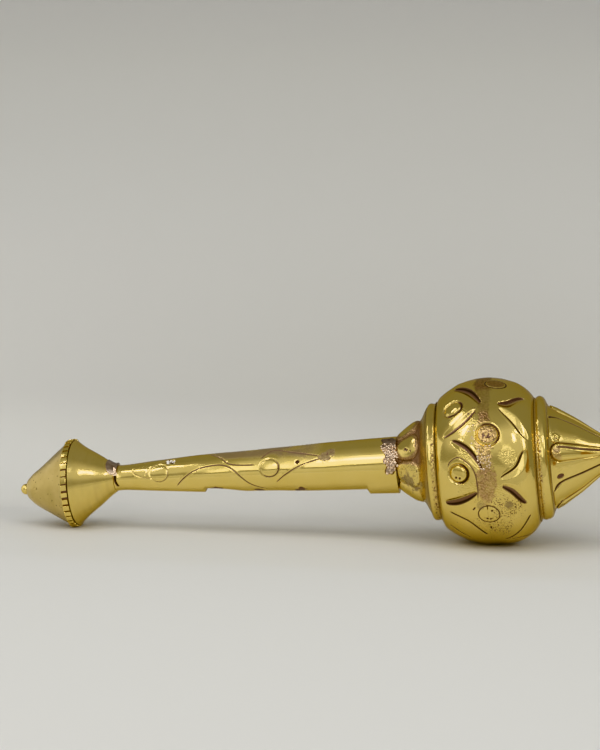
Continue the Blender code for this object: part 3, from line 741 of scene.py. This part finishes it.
def markPetals(skin, quarter):
    lineCut(skin, turned(crown["crease"], quarter), 1.2, 0.42, dark=0.9, lip=0.12)
    if quarter == 90:  # the petals on top are plain
        return
    chiselCut(skin, turned(crown["comma"], quarter), 2.6, 0.7, 1, 0.6)
    dot, boss, hollow = turned(crown["petalPlaces"], quarter)
    aside = np.radians(turnFrom(skin.angle, dot[1])) * skin.radius
    fromDot = np.hypot((skin.station - dot[0]) / 1.35, aside)
    skin.height -= 0.45 * ramp(fromDot, 1.5, 1)
    skin.mark("recess", 0.6 * ramp(fromDot, 1.45, 1.1))
    skin.height += 0.5 * skin.spot(boss, 2.2, 1.2) - 0.5 * skin.spot(boss, 1.1, 0.6)
    skin.mark("recess", 0.6 * skin.spot(boss, 1.2, 0.5) * ramp(turnFrom(skin.angle, boss[1] + 0.5), 0, -2))
    lineCut(skin, turned(crown["fold"], quarter), 1.3, 0.4, dark=0.6, lip=0.15)
    # the hollow in the rib's end, darkened as painted shade
    punch(skin, hollow, (0.6, 2.6, 1.8), (0.3, 2.2, 0.8))


crownSkin = sheet(crown, crown["start"] - 0.08, crown["top"], crownRadius)
chaseCrown(crownSkin)
for quarter in (0, 90, 180, 270):
    markPetals(crownSkin, quarter)
finished(skinMesh("crownSheet", crownSkin, onCrown, polishedBrass), "crown")


# The beads on the two points: the station of each one's middle and of its foot
bead = {"radius": 2.78, "columns": 48, "crown": (71.59, 69.7), "pommel": (-26.09, -25.15)}


def beadSkin(station, foot):  # a bead from its foot to its far end
    outward, radius = 1 if station > foot else -1, bead["radius"]
    lean = asin(min(abs(foot - station) / radius, 1))
    turns = np.linspace(pi / 2 + lean, 0.02, 20)
    stations, radii = station + outward * radius * np.cos(turns), radius * np.sin(turns)
    return Skin(stations[::outward], radii[::outward], bead["columns"])


finished(skinMesh("crownBead", beadSkin(*bead["crown"]), onCrown, polishedBrass), "crown_tip_bead")
print("crown made")

# The bud
bud = {
    "start": -46.38,
    "end": -30.05,
    "outline": ((-46.4, 14.1), (-43, 16.2), (-38.5, 19.4), (-34.5, 21.8), (-32.6, 23.9), (-30.05, 27.3)),
    "rows": 66,
    "columns": 420,
    "petals": 8,
    "firstEdge": 8.7,
    "height": 1.9,
    "pits": (((-40.9, 27), 1), ((-40, 25), 0.8), ((-38.2, 22), 0.6), ((-35.4, 78), 1.3)),
    "shaftGap": ((-46.3, -8), (-45.9, -20), (-45.6, -36), (-46.2, -58)),
}


def chaseBud(skin):
    pitch = 360 / bud["petals"]
    across = np.abs((skin.angle - bud["firstEdge"]) % pitch - pitch / 2) / (pitch / 2)
    along = np.abs(skin.station + 40.3) / 6.3
    full = np.clip(1 - across**2.5 - along**3, 0, 1)
    skin.height += bud["height"] * (np.sqrt(full) - 0.8) * ramp(skin.station, -30.4, -33.4)
    skin.height += 0.07 * skin.noise(4, 61)
    tarnished = within(turnFrom(skin.angle, 0), -8, 6, 85, 110)  # heavy between the upper petals only
    valley = ramp(0.4 + 0.34 * tarnished - full + 0.18 * skin.noise(2.5, 62), 0, 0.3)
    valley = valley * ramp(skin.station, -32, -33.4)
    line = ramp(full, 0.16, 0.02) * ramp(skin.station, -32, -33)
    skin.mark("recess", 0.25 * valley * (0.05 + 0.95 * tarnished) + 0.14 * line)
    # painted shade at the bud's wide end, where it meets the lower collar
    skin.mark("recess", 0.3 * ramp(skin.station, -33.6, -31.8))
    skin.mark("copper", 0.7 * valley * (0.2 + 0.8 * tarnished))
    for place, size in bud["pits"]:
        punch(skin, place, (0.4, size, size), (0.8, size, 0.7 * size))
    skin.mark("stain", 0.7 * ramp(1 - skin.around((-39, -29)) / 5.5 - 0.7 * skin.noise(1.6, 63), 0, 0.7))
    skin.mark("pitted", 0.75 * skin.spot((-39.5, -12), 8, 4))
    skin.mark("grain", 0.5 * skin.spot((-38.5, -10), 9, 4.5))
    lineCut(skin, bud["shaftGap"], 1, 0.6)


budSkin = sheet(bud, bud["start"], bud["end"], lambda station: blend(bud["outline"], station))
chaseBud(budSkin)
finished(skinMesh("bud", budSkin, onShaft, polishedBrass), "head_bud")
print("bud chased")

# The shaft
shaft = {
    "start": -193.6,
    "end": -46.62,
    "rows": 400,
    "columns": 220,
    "outline": ((-194, 7), (-187, 6.8), (-160, 9), (-143, 10), (-115, 10.9), (-88, 12.2), (-46, 13.5)),
    "lapCut": (-147.2, -145.8, -123),
    "lapDepth": 2.4,
    "lip": (-63.2, -61.4),
    "lipHeight": 2.3,
    "lapHalfAngle": 58,
    "vineWidth": 0.85,
    "faintVine": (
        ((-183.2, 37), (-182.4, 18), (-178.5, 3), (-172.5, -4)),
        ((-176.8, 8), (-174.2, 31), (-171, 51), (-165.5, 62)),
    ),
    "vine": (
        ((-160.6, -37), (-155.2, -2), (-147, 22), (-137, 28), (-130.3, 11), (-121.5, -36), (-113, -60)),
        ((-143, 78), (-136, 48), (-131, 27), (-118.5, 21)),
        ((-115.8, 38), (-109, 66), (-99, 50), (-84.8, 33)),
        ((-108.2, -31), (-103.1, -9), (-95, 12), (-84.8, 27)),
    ),
    # each disc's place, then its ring's radius, width and depth, the dome's height and how dark the ring is
    "discs": ((-169.2, 15.5, 4.8, 0.7, 0.22, 0.15, 0.45), (-111.2, 11.2, 4.8, 0.9, 0.35, 0.15, 0.75)),
    "filmEdge": ((-145, -133.5, -124.5, -115.6, -110, -104, -97, -86), (72, 44, 38, 41, 44, 41, 33, 20)),
    "neckGap": ((-193, 30), (-192.9, 8), (-192.7, -14), (-191.6, -40)),
    "burnt": (((-82.3, 30), 3), ((-79.5, 41), 2.6)),
    "chips": (((-164.2, 60.5), 1.7), ((-162.2, 57.5), 1.4)),
    "punchMark": (-96.6, 21.3),
    "darkUnderPatches": (((-143.5, -58), 2.2), ((-138.5, -55), 2.6), ((-118, -66), 3), ((-96, -67), 3.2)),
}


def shaftRadius(station):
    return blend(shaft["outline"], np.clip(station, -194, -46))


def chaseShaft(skin):  # the sheet's lap shows as two steps on the underside
    under = np.cos(pi / 2 * np.clip(turnFrom(skin.angle, -90) / shaft["lapHalfAngle"], -1, 1)) ** 2
    stepIn, stepFull, faded = shaft["lapCut"]
    skin.height += shaft["lipHeight"] * under * ramp(skin.station, *shaft["lip"])
    skin.height -= shaft["lapDepth"] * under * within(skin.station, stepIn, stepFull, stepFull, faded)
    for stem in shaft["faintVine"]:
        lineCut(skin, stem, shaft["vineWidth"], 0.18, 0.3, lip=0.07)
    for side in (0, 180):
        for stem in shaft["vine"]:
            lineCut(skin, turned(stem, side), shaft["vineWidth"], 0.3, 0.62, lip=0.07)
        for station, turn, *ring in shaft["discs"]:
            ringedDisc(skin, (station, turn + side), *ring, darkSide=-45)
    skin.height += 0.14 * skin.noise((16, 9, 9), 71) + 0.04 * skin.noise((6, 4, 4), 72) - 0.2


def wearShaft(skin):
    angle, station = turnFrom(skin.angle, 0), skin.station
    wobble, drift = 8 * skin.noise(5, 81), skin.noise((11, 7, 7), 87)
    edge = np.interp(station, *shaft["filmEdge"])  # a film of tarnish along the upper side
    film = ramp(angle + wobble - edge, -3, 10) * ramp(angle - 2 * wobble - 24 * drift, 128, 96)
    film *= ramp(station + 7 * drift, -149, -138) * ramp(station - 7 * drift, -80, -92)
    skin.mark("stain", 0.8 * film * ramp(drift + 0.3 * skin.noise(2.4, 88), -1.3, -0.2))
    skin.mark("stain", 0.6 * within(angle, 62, 80, 100, 130) * ramp(station, -150, -165))
    patch = ramp(1.15 - skin.among(shaft["burnt"]) - 0.35 * skin.noise(1.3, 82), 0, 0.35)
    rough = grains(skin.points, 0.9, 83)
    skin.height += patch * (0.3 * rough - 0.1)
    skin.mark("stain", 0.8 * patch)
    skin.mark("recess", 0.6 * patch * ramp(rough, 0.4, 0.1))
    lineCut(skin, shaft["neckGap"], 1.5, 0.7)
    punch(skin, shaft["punchMark"], (0.6, 1.2, 0.8), (0.8, 1.2, 0.4))
    chipped = ramp(1.1 - skin.among(shaft["chips"]) - 0.3 * skin.noise(1.2, 84), 0, 0.2)
    rough = grains(skin.points, 1, 85)
    skin.height -= 0.35 * chipped * (0.4 + rough)
    skin.mark("bare", chipped * ramp(rough, 0.3, 0.5))
    skin.mark("recess", chipped * ramp(rough, 0.32, 0.12))
    ragged = 0.6 * skin.noise((3, 1.2, 1.2), 86)
    # darker patches painted on the underside; no dent is shaped, only the colour changes
    for place, size in shaft["darkUnderPatches"]:
        skin.mark("recess", 0.55 * ramp(1 - skin.around(place) / size - ragged, 0, 0.4))


shaftSkin = sheet(shaft, shaft["start"], shaft["end"], shaftRadius)
chaseShaft(shaftSkin)
wearShaft(shaftSkin)
finished(skinMesh("shaftTube", shaftSkin, onShaft, polishedBrass), "shaft")
print("shaft chased")

# The pommel, its stations from the rim's middle
pommel = {
    "backCone": ((-25.2, 3.2), (-24.9, 4.2), (-24.2, 5.3), (-21.3, 8.1), (-1.7, 21.7)),
    "backDents": ((-12.5, 62), (-19, 8), (-17.5, 2), (-10, -30)),
    "frontCone": ((2, 22), (6.5, 18.2), (13.5, 13.5), (18.8, 9.6), (22.45, 7.3)),
    "columns": 300,
    "rows": 70,
    "rimRadius": lie["rimRadius"],
    "rimHalfWidth": 1.7,
    "rimColumns": 228,
    "notches": 38,
    "notchGap": 0.75,
    "lumpHeight": 0.75,
    "seed": 7,
}
backSkin = sheet(pommel, pommel["backCone"][0][0], pommel["backCone"][-1][0],
                 lambda station: np.interp(station, *zip(*pommel["backCone"])))
backSkin.height += 0.05 * backSkin.noise(7, 91)
for place in pommel["backDents"]:
    backSkin.height -= 0.3 * backSkin.spot(place, 0.8, 0.6)
backCone = skinMesh("pommelBackCone", backSkin, onPommel, bloomedBrass)
finished(backCone, "pommel_back_cone", slotName="dull_brass")
finished(skinMesh("pommelBead", beadSkin(*bead["pommel"]), onPommel, polishedBrass), "pommel_tip_bead")

frontSkin = sheet(pommel, pommel["frontCone"][0][0], pommel["frontCone"][-1][0],
                  lambda station: blend(pommel["frontCone"], station))
frontSkin.height += 0.06 * frontSkin.noise((14, 8, 8), 92) - 0.05
frontSkin.mark("stain", 0.1 + 0.06 * frontSkin.noise((1.4, 9, 9), 93))
finished(skinMesh("pommelFrontCone", frontSkin, onPommel, polishedBrass), "pommel_front_cone")


def makeRim():  # a plain band, with the notched bosses set round it by geometry nodes
    half, low = pommel["rimHalfWidth"], pommel["rimRadius"] - pommel["lumpHeight"]
    stations = (-half, -half + 0.1, -half + 0.3, -half + 0.5, 0, half - 0.15, half)
    radii = (low - 0.5, low + 0.45, low + 0.5, low, low, low, low - 0.5)
    skin = Skin(stations, radii, pommel["rimColumns"])
    # the band shows only in the notches between the bosses, darkened there as painted shade
    skin.mark("recess", 0.55 * (skin.station > 0.4 - half))
    return skinMesh("rimBand", skin, onPommel, polishedBrass)


def newTree(name, inputs):
    tree = bpy.data.node_groups.new(name, "GeometryNodeTree")
    for socket, kind in (("Geometry", "Geometry"), *inputs.items(), ("Material", "Material")):
        tree.interface.new_socket(socket, in_out="INPUT", socket_type="NodeSocket" + kind)
    tree.interface.new_socket("Geometry", in_out="OUTPUT", socket_type="NodeSocketGeometry")
    add = partial(addNode, tree)
    return tree, add, add("NodeGroupInput").outputs


def closeTree(add, instances, material):  # makes the instances real, smooth and of the material
    real = add("GeometryNodeRealizeInstances", {0: instances})
    shaded = add("GeometryNodeSetShadeSmooth", {0: real})
    painted = add("GeometryNodeSetMaterial", {0: shaded, "Material": material})
    add("NodeGroupOutput", {0: painted})


def bossTree():
    sizes = dict.fromkeys(("Ring radius", "Width", "Length", "Height"), "Float")
    tree, add, given = newTree("notched bosses", {"Count": "Int", "Seed": "Int", **sizes})
    circle = add("GeometryNodeMeshCircle", {
        "Vertices": given["Count"], "Radius": given["Ring radius"]})
    size = add("CombineXYZ", {"X": given["Height"], "Y": given["Length"], "Z": given["Width"]})
    cube = add("GeometryNodeMeshCube", {"Size": size})
    boss = add("GeometryNodeSubdivisionSurface", {"Mesh": cube, "Level": 3, "Edge Crease": 0.55})
    place = add("GeometryNodeInputPosition")
    outward = add("FunctionNodeAlignRotationToVector", {"Vector": place}, axis="X")
    jitter = add("FunctionNodeRandomValue", {
        0: (0.55, 0.72, 0.8), 1: (1.12, 1.1, 1), "Seed": given["Seed"]}, data_type="FLOAT_VECTOR")
    bosses = add("GeometryNodeInstanceOnPoints", {
        "Points": circle, "Instance": boss, "Rotation": outward, "Scale": jitter})
    closeTree(add, bosses, given["Material"])
    return tree


def grownBy(tree, obj, values):  # runs a geometry node tree on an object and keeps the plain mesh it makes
    modifier = obj.modifiers.new("Grow", "NODES")
    modifier.node_group = tree
    sockets = {item.name: item.identifier for item in tree.interface.items_tree if item.in_out == "INPUT"}
    for socket, value in values.items():
        modifier[sockets[socket]] = value
    graph = bpy.context.evaluated_depsgraph_get()
    made = bpy.data.meshes.new_from_object(obj.evaluated_get(graph))
    obj.modifiers.remove(modifier)
    obj.data = made
    return obj


finished(makeRim(), "pommel_rim_band")
pitch = 2 * pi * pommel["rimRadius"] / pommel["notches"]
bosses = grownBy(bossTree(), newObject("rimBosses", bpy.data.meshes.new("rimBosses")), {
    "Count": pommel["notches"],
    "Ring radius": (pommel["rimRadius"] - pommel["lumpHeight"] / 2) * mm,
    "Width": (2 * pommel["rimHalfWidth"] + 0.1) * mm,
    "Length": (pitch - pommel["notchGap"]) * mm,
    "Height": (pommel["lumpHeight"] + 0.5) * mm,
    "Seed": pommel["seed"],
    "Material": polishedBrass,
})
flat = np.empty(len(bosses.data.vertices) * 3)
bosses.data.vertices.foreach_get("co", flat)
x, y, z = flat.reshape(-1, 3).T / mm
onRim = onPommel(z, np.degrees(np.arctan2(y, x)), np.minimum(np.hypot(x, y), pommel["rimRadius"]))
bosses.data.vertices.foreach_set("co", onRim.ravel())
bosses.data.update()
finished(bosses)
print("pommel made")


# Braze and solder: lumps wrapped on the joints, and granules that beaded up on them. How far each piece
# reaches round the axis and along it, and the points of its grid each way:
joints = {
    "neckSolder": ((14, 118), (18.4, 24.4), (90, 46)),
    "jointBraze": ((-24, 78), (-54.8, -45.6), (150, 60)),
    "seamGranules": ((-2, 36), (-8.5, 7.5), (70, 50)),
    "jointGranules": ((-22, 56), (-54.6, -45.4), (70, 50)),
}


def jointGrid(angles, stations, counts):  # angles, stations, numbers and faces of a grid over a joint
    rows, columns = np.linspace(*angles, counts[0]), np.linspace(*stations, counts[1])
    turns, places = np.meshgrid(rows, columns, indexing="ij")
    index = np.arange(turns.size).reshape(counts)
    quads = np.stack([index[:-1, :-1], index[:-1, 1:], index[1:, 1:], index[1:, :-1]], axis=-1).reshape(-1, 4)
    return turns, places, index, quads


def lumpShell(name, place, inner, rise, darken):
    # the top follows rise(angle, station, edge) and the underside is sunk in the metal
    angles, stations, counts = joints[name]
    turns, places, index, quads = jointGrid(angles, stations, counts)
    u = (turns - np.mean(angles)) / (angles[1] - angles[0]) * 2
    v = (places - np.mean(stations)) / (stations[1] - stations[0]) * 2
    edge = np.clip((1 - u**4) * (1 - v**4), 0, 1)
    turns, places, count = turns.ravel(), places.ravel(), turns.size
    height, base = rise(turns, places, edge.ravel()), inner(places)
    points = np.vstack([place(places, turns, base + height), place(places, turns, base - 0.5)])
    rim = np.concatenate([index[0, :-1], index[:-1, -1], index[-1, :0:-1], index[:0:-1, 0]])
    following = np.roll(rim, -1)
    sides = np.stack([rim, rim + count, following + count, following], axis=-1)
    faces = quads.tolist() + (quads[:, ::-1] + count).tolist() + sides.tolist()
    marks = {"recess": np.append(darken(turns, places, height), np.zeros(count))}
    return makeObject(name, points, faces, marks, copperBraze)


def neckRadius(station):
    cone = blend(pommel["frontCone"], np.minimum(station, pommel["frontCone"][-1][0]))
    return np.maximum(cone, 7.2)


def solderRise(angle, station, edge):
    points = roundPoints(station, angle, 8)
    corner = np.hypot(np.clip(angle - 60, None, 0) / 46, (station - 22) / 3.6)
    body = ramp(1 - corner**2.5 - 0.12 * softNoise(points, 2, 101), 0, 0.35) * ramp(edge, 0, 0.25)
    return 0.75 * body + 0.1 * softNoise(points, 1.4, 105) * body - 0.3


# darker in its hollows, as brown flux and painted shade, and darker towards the top
def solderHollows(angle, station, height):
    uneven = 0.25 * softNoise(roundPoints(station, angle, 8), 2, 106)
    return np.clip(0.42 + uneven + 0.4 * ramp(height, 0.2, -0.1), 0, 1) * ramp(angle, 22, 44)


def brazeEdge(angle, station):  # how far the braze's ragged edge has drifted towards the head
    return softNoise(roundPoints(station, angle, 14), 2.6, 107), 1.2 * ramp(angle, 30, -10)


def brazeRise(angle, station, edge):
    points = roundPoints(station, angle, 14)
    ragged, drawn = brazeEdge(angle, station)
    start = -52.8 + 1.5 * ragged + drawn - 0.8 * ramp(angle, 52, 64)
    body = ramp(edge - 0.35 * softNoise(points, 1.8, 104), 0.15, 0.55) * ramp(station - start, -0.6, 0.6)
    flat = 1 - 0.7 * ramp(angle, 52, 60)
    return body * (0.35 + 0.55 * flat * grains(points, 1.9, 102)) - 0.4 * (1 - body)


# darker in the hollows between lumps: brown flux and painted shade
def brazeHollows(angle, station, height):
    return np.clip(0.5 + 0.5 * ramp(height, 0.5, 0.1) + 0.1 * ramp(angle, 50, 60), 0, 0.8)


solder = lumpShell("neckSolder", onPommel, neckRadius, solderRise, solderHollows)
finished(solder, "neck_solder", slotName="copper_braze")
lumps = lumpShell("jointBraze", onShaft, shaftRadius, brazeRise, brazeHollows)
finished(lumps, "joint_braze", slotName="copper_braze")


def granuleTree():  # granules scattered over a patch where it is dense enough
    sizes = dict.fromkeys(("Spacing", "Radius", "Density"), "Float")
    tree, add, given = newTree("braze granules", {**sizes, "Seed": "Int"})
    dense = add("GeometryNodeInputNamedAttribute", {"Name": "dense"}, data_type="FLOAT")
    points = add("GeometryNodeDistributePointsOnFaces", {
        "Mesh": given["Geometry"], "Distance Min": given["Spacing"], "Density Max": given["Density"],
        "Density Factor": dense.outputs["Attribute"], "Seed": given["Seed"]}, distribute_method="POISSON")
    drop = add("GeometryNodeMeshUVSphere", {"Segments": 9, "Rings": 6, "Radius": given["Radius"]})
    size = add("FunctionNodeRandomValue", {
        0: (0.7, 0.7, 0.5), 1: (1.35, 1.2, 0.8), "Seed": given["Seed"]}, data_type="FLOAT_VECTOR")
    drops = add("GeometryNodeInstanceOnPoints", {
        "Points": points, "Instance": drop, "Rotation": points.outputs["Rotation"], "Scale": size})
    closeTree(add, drops, given["Material"])
    return tree


def granules(name, place, inner, density, spacing, radius, seed):
    turns, places, index, quads = jointGrid(*joints[name])
    turns, places = turns.ravel(), places.ravel()
    dense = {"dense": np.clip(density(turns, places), 0, 1)}
    patch = makeObject(name, place(places, turns, inner(places)), quads.tolist(), dense, copperBraze)
    patch.data.shade_flat()  # the drops sit square on the faces
    return finished(grownBy(granulesTree, patch, {
        "Spacing": spacing * mm,
        "Radius": radius * mm,
        "Density": 4 / (spacing * mm) ** 2,
        "Seed": seed,
        "Material": copperBraze,
    }), slotName="copper_braze")


def seamDensity(angle, station):  # thick in the middle disc and below it, thin beside it
    middle, turn = ball["granularDisc"]
    disc = np.hypot(station - middle, np.radians(angle - turn) * ball["radius"])
    below = 0.85 * within(angle, -1, 3, 15, 17.5) * ramp(np.abs(station + 0.6), 4, 2.8)
    beside = 0.35 * within(angle, 13, 17, 30, 34) * ramp(np.abs(station + 5.6), 2.6, 1.6)
    return np.maximum(np.maximum(ramp(disc, 4.4, 4), below), beside)


def jointDensity(angle, station):
    ragged, drawn = brazeEdge(angle, station)
    wandering = angle + 7 * softNoise(roundPoints(station, angle, 14), 1.8, 108)
    return ramp(station + 53.1 - 1.3 * ragged - drawn, 0, 0.8) * within(wandering, -19, -15, 47, 54)


granulesTree = granuleTree()
granules("seamGranules", onBall, lambda station: ballRadius(station) - 0.62, seamDensity,
         spacing=1, radius=0.62, seed=11)
granules("jointGranules", onShaft, lambda station: shaftRadius(station) + 0.45, jointDensity,
         spacing=1.3, radius=0.8, seed=12)
print("braze laid")

# The studio
studio = {
    "floorHalfWidth": 3000,
    "floorFront": -2600,
    "cove": (55, 60),  # behind the mace the floor curves up into the backdrop: where it starts and its radius
    "backdropTop": 900,
    "board": "#DBDAD6",
    "front": 0.66,  # how bright the room is in front at half height, and in the other directions
    "low": 0.35,
    "high": 0.38,
    "back": 0.29,
    "cardColour": "#FFFEFA",
    "lightColour": "#FFFFFC",
    "lightDistance": 1400,
}
# The soft boxes: azimuth, elevation, size and the brightness of the face
lights = {
    "overhead fill": (-10, 70, (1500, 900), 1.5),
    "narrow window left": (-52, 42, (50, 440), 16),
    "narrow window far left": (-84, 46, (110, 420), 7),
    "tall window middle": (-16, 26, (330, 1000), 1.4),
    "bright pane middle": (-16, 31, (240, 240), 4.5),
    "window right": (50, 36, (75, 240), 16),
    "narrow window far right": (76, 27, (110, 420), 6),
    "small window": (14, 38, (300, 330), 1.2),
    "low window": (29, 17, (240, 380), 1.2),
}


def stageMesh(name, points, faces, material):
    obj = makeObject(name, np.array(points) * mm, faces, {}, material)
    return obj


def makeCard(name, ends, material):  # a flat card between opposite corners, upright if they differ in height
    (x, y, low), (farX, farY, high) = ends
    corners = [(x, y, low), (farX, y, low), (farX, farY, low), (x, farY, low)]
    if low != high:
        corners = [(x, y, low), (farX, farY, low), (farX, farY, high), (x, y, high)]
    return stageMesh(name, corners, [(0, 1, 2, 3)], material)


def makeBoard():
    material, add, shader, _ = newMaterial("matt_white_board")
    feed(shader, {"Base Color": studio["board"], "Roughness": 0.55, "Specular IOR Level": 0.3})
    # the back of the board is clear, so that the mace can be looked at from behind it
    behind = add("NewGeometry").outputs["Backfacing"]
    oneSided = add("MixShader", (behind, shader, add("BsdfTransparent")))
    output = next(node for node in material.node_tree.nodes if node.type == "OUTPUT_MATERIAL")
    feed(output, {"Surface": oneSided})
    return material


def makeStage():
    board = makeBoard()
    half, (start, bend) = studio["floorHalfWidth"], studio["cove"]
    makeCard("floor", [(-half, studio["floorFront"], 0), (half, start, 0)], board)
    section = [(start + bend * sin(t), bend * (1 - cos(t))) for t in np.linspace(0, pi / 2, 25)]
    section.append((start + bend, studio["backdropTop"]))
    points = [(x, y, z) for y, z in section for x in (-half, half)]
    faces = [(2 * i, 2 * i + 1, 2 * i + 3, 2 * i + 2) for i in range(len(section) - 1)]
    backdrop = stageMesh("backdrop", points, faces, board)
    backdrop.visible_glossy = False


def makeWorld():  # a room that is brightest in front, half way up, dim overhead and behind
    world = bpy.data.worlds.new("studio")
    world.use_nodes = True
    bpy.context.scene.world = world
    add = partial(addNode, world.node_tree)
    way = add("SeparateXYZ", {0: add("TexCoord").outputs["Generated"]}).outputs
    band = add("ValToRGB", {"Fac": way["Z"]})
    band.color_ramp.interpolation = "EASE"
    low, front, back = studio["low"], studio["front"], studio["back"]
    steps = ((0, low), (0.1, low), (0.35, front), (0.72, front), (0.9, studio["high"]))
    while len(band.color_ramp.elements) < len(steps):
        band.color_ramp.elements.new(0.5)
    for element, (place, level) in zip(band.color_ramp.elements, steps):
        element.position = place
        element.color = (level, level, level * 0.99, 1)
    ahead = add("MapRange", (way["Y"], 0.05, -0.35))
    room = add("Mix", {0: ahead, 6: (back, back, back * 0.98, 1), 7: band}, data_type="RGBA")
    feed(world.node_tree.nodes["Background"], {"Color": room})


def towards(azimuth, elevation):  # a direction from the mace: azimuth 0 is in front, 90 beyond its crown
    turn, rise = radians(azimuth), radians(elevation)
    return Vector((sin(turn) * cos(rise), -cos(turn) * cos(rise), sin(rise)))


def addLight(name, azimuth, elevation, size, radiance):  # a soft box that faces the ball
    light = bpy.data.lights.new(name, "AREA")
    light.shape = "RECTANGLE"
    light.size, light.size_y = size[0] * mm, size[1] * mm
    light.energy = radiance * pi * light.size * light.size_y
    light.color = hexColour(studio["lightColour"])[:3]
    lamp = newObject(name, light)
    back = towards(azimuth, elevation)
    lamp.location = (Vector((ballX, 0, lie["ballSeat"])) + back * studio["lightDistance"]) * mm
    lamp.rotation_euler = back.to_track_quat("Z", "Y").to_euler()
    lamp.visible_camera = False
    return lamp


def glowing(name, colour, level):
    material, _, shader, _ = newMaterial(name)
    feed(shader, {"Base Color": "#000000", "Emission Color": colour, "Emission Strength": level})
    return material


makeStage()
makeWorld()
for name, light in lights.items():
    addLight(name, *light).visible_glossy = name != "overhead fill"
greyCard = glowing("grey_card", studio["cardColour"], 0.46)
litWall = glowing("lit_wall", studio["cardColour"], 0.85)
oakCard = glowing("oak_card", "#BC862E", 0.5)
for card in (  # only the brass sees them
    makeCard("front card", [(-900, -2500, 2), (900, -95, 2)], greyCard),
    makeCard("left card", [(-262, -70, 2), (-262, 95, 150)], litWall),
    makeCard("side card", [(505, -150, 10), (480, -60, 150)], oakCard),
):
    card.visible_camera = card.visible_diffuse = card.visible_shadow = False
flag = makeCard("flag", [(-900, -25, 350), (900, 112, 350)], greyCard)  # it shades the top of the backdrop
flag.visible_camera = flag.visible_glossy = False
print("studio lit")

# The camera
view = {"aim": (-12.7, 0, 82.2), "distance": 1019.9, "azimuth": 8.5, "elevation": 4, "roll": 1.08, "lens": 96}


def makeCamera():
    back, roll = towards(view["azimuth"], view["elevation"]), radians(view["roll"])
    right = Vector((cos(radians(view["azimuth"])), sin(radians(view["azimuth"])), 0))
    up = back.cross(right)
    tilted = right * cos(roll) + up * sin(roll)
    upright = up * cos(roll) - right * sin(roll)
    camera = newObject("camera", bpy.data.cameras.new("camera"))
    camera.data.lens = view["lens"]
    camera.data.sensor_width = 36
    camera.data.clip_start, camera.data.clip_end = 0.05, 30
    place = (Vector(view["aim"]) + back * view["distance"]) * mm
    camera.matrix_world = Matrix.Translation(place) @ Matrix((tilted, upright, back)).transposed().to_4x4()
    bpy.context.scene.camera = camera


makeCamera()
bpy.context.scene.view_settings.view_transform = "Khronos PBR Neutral"
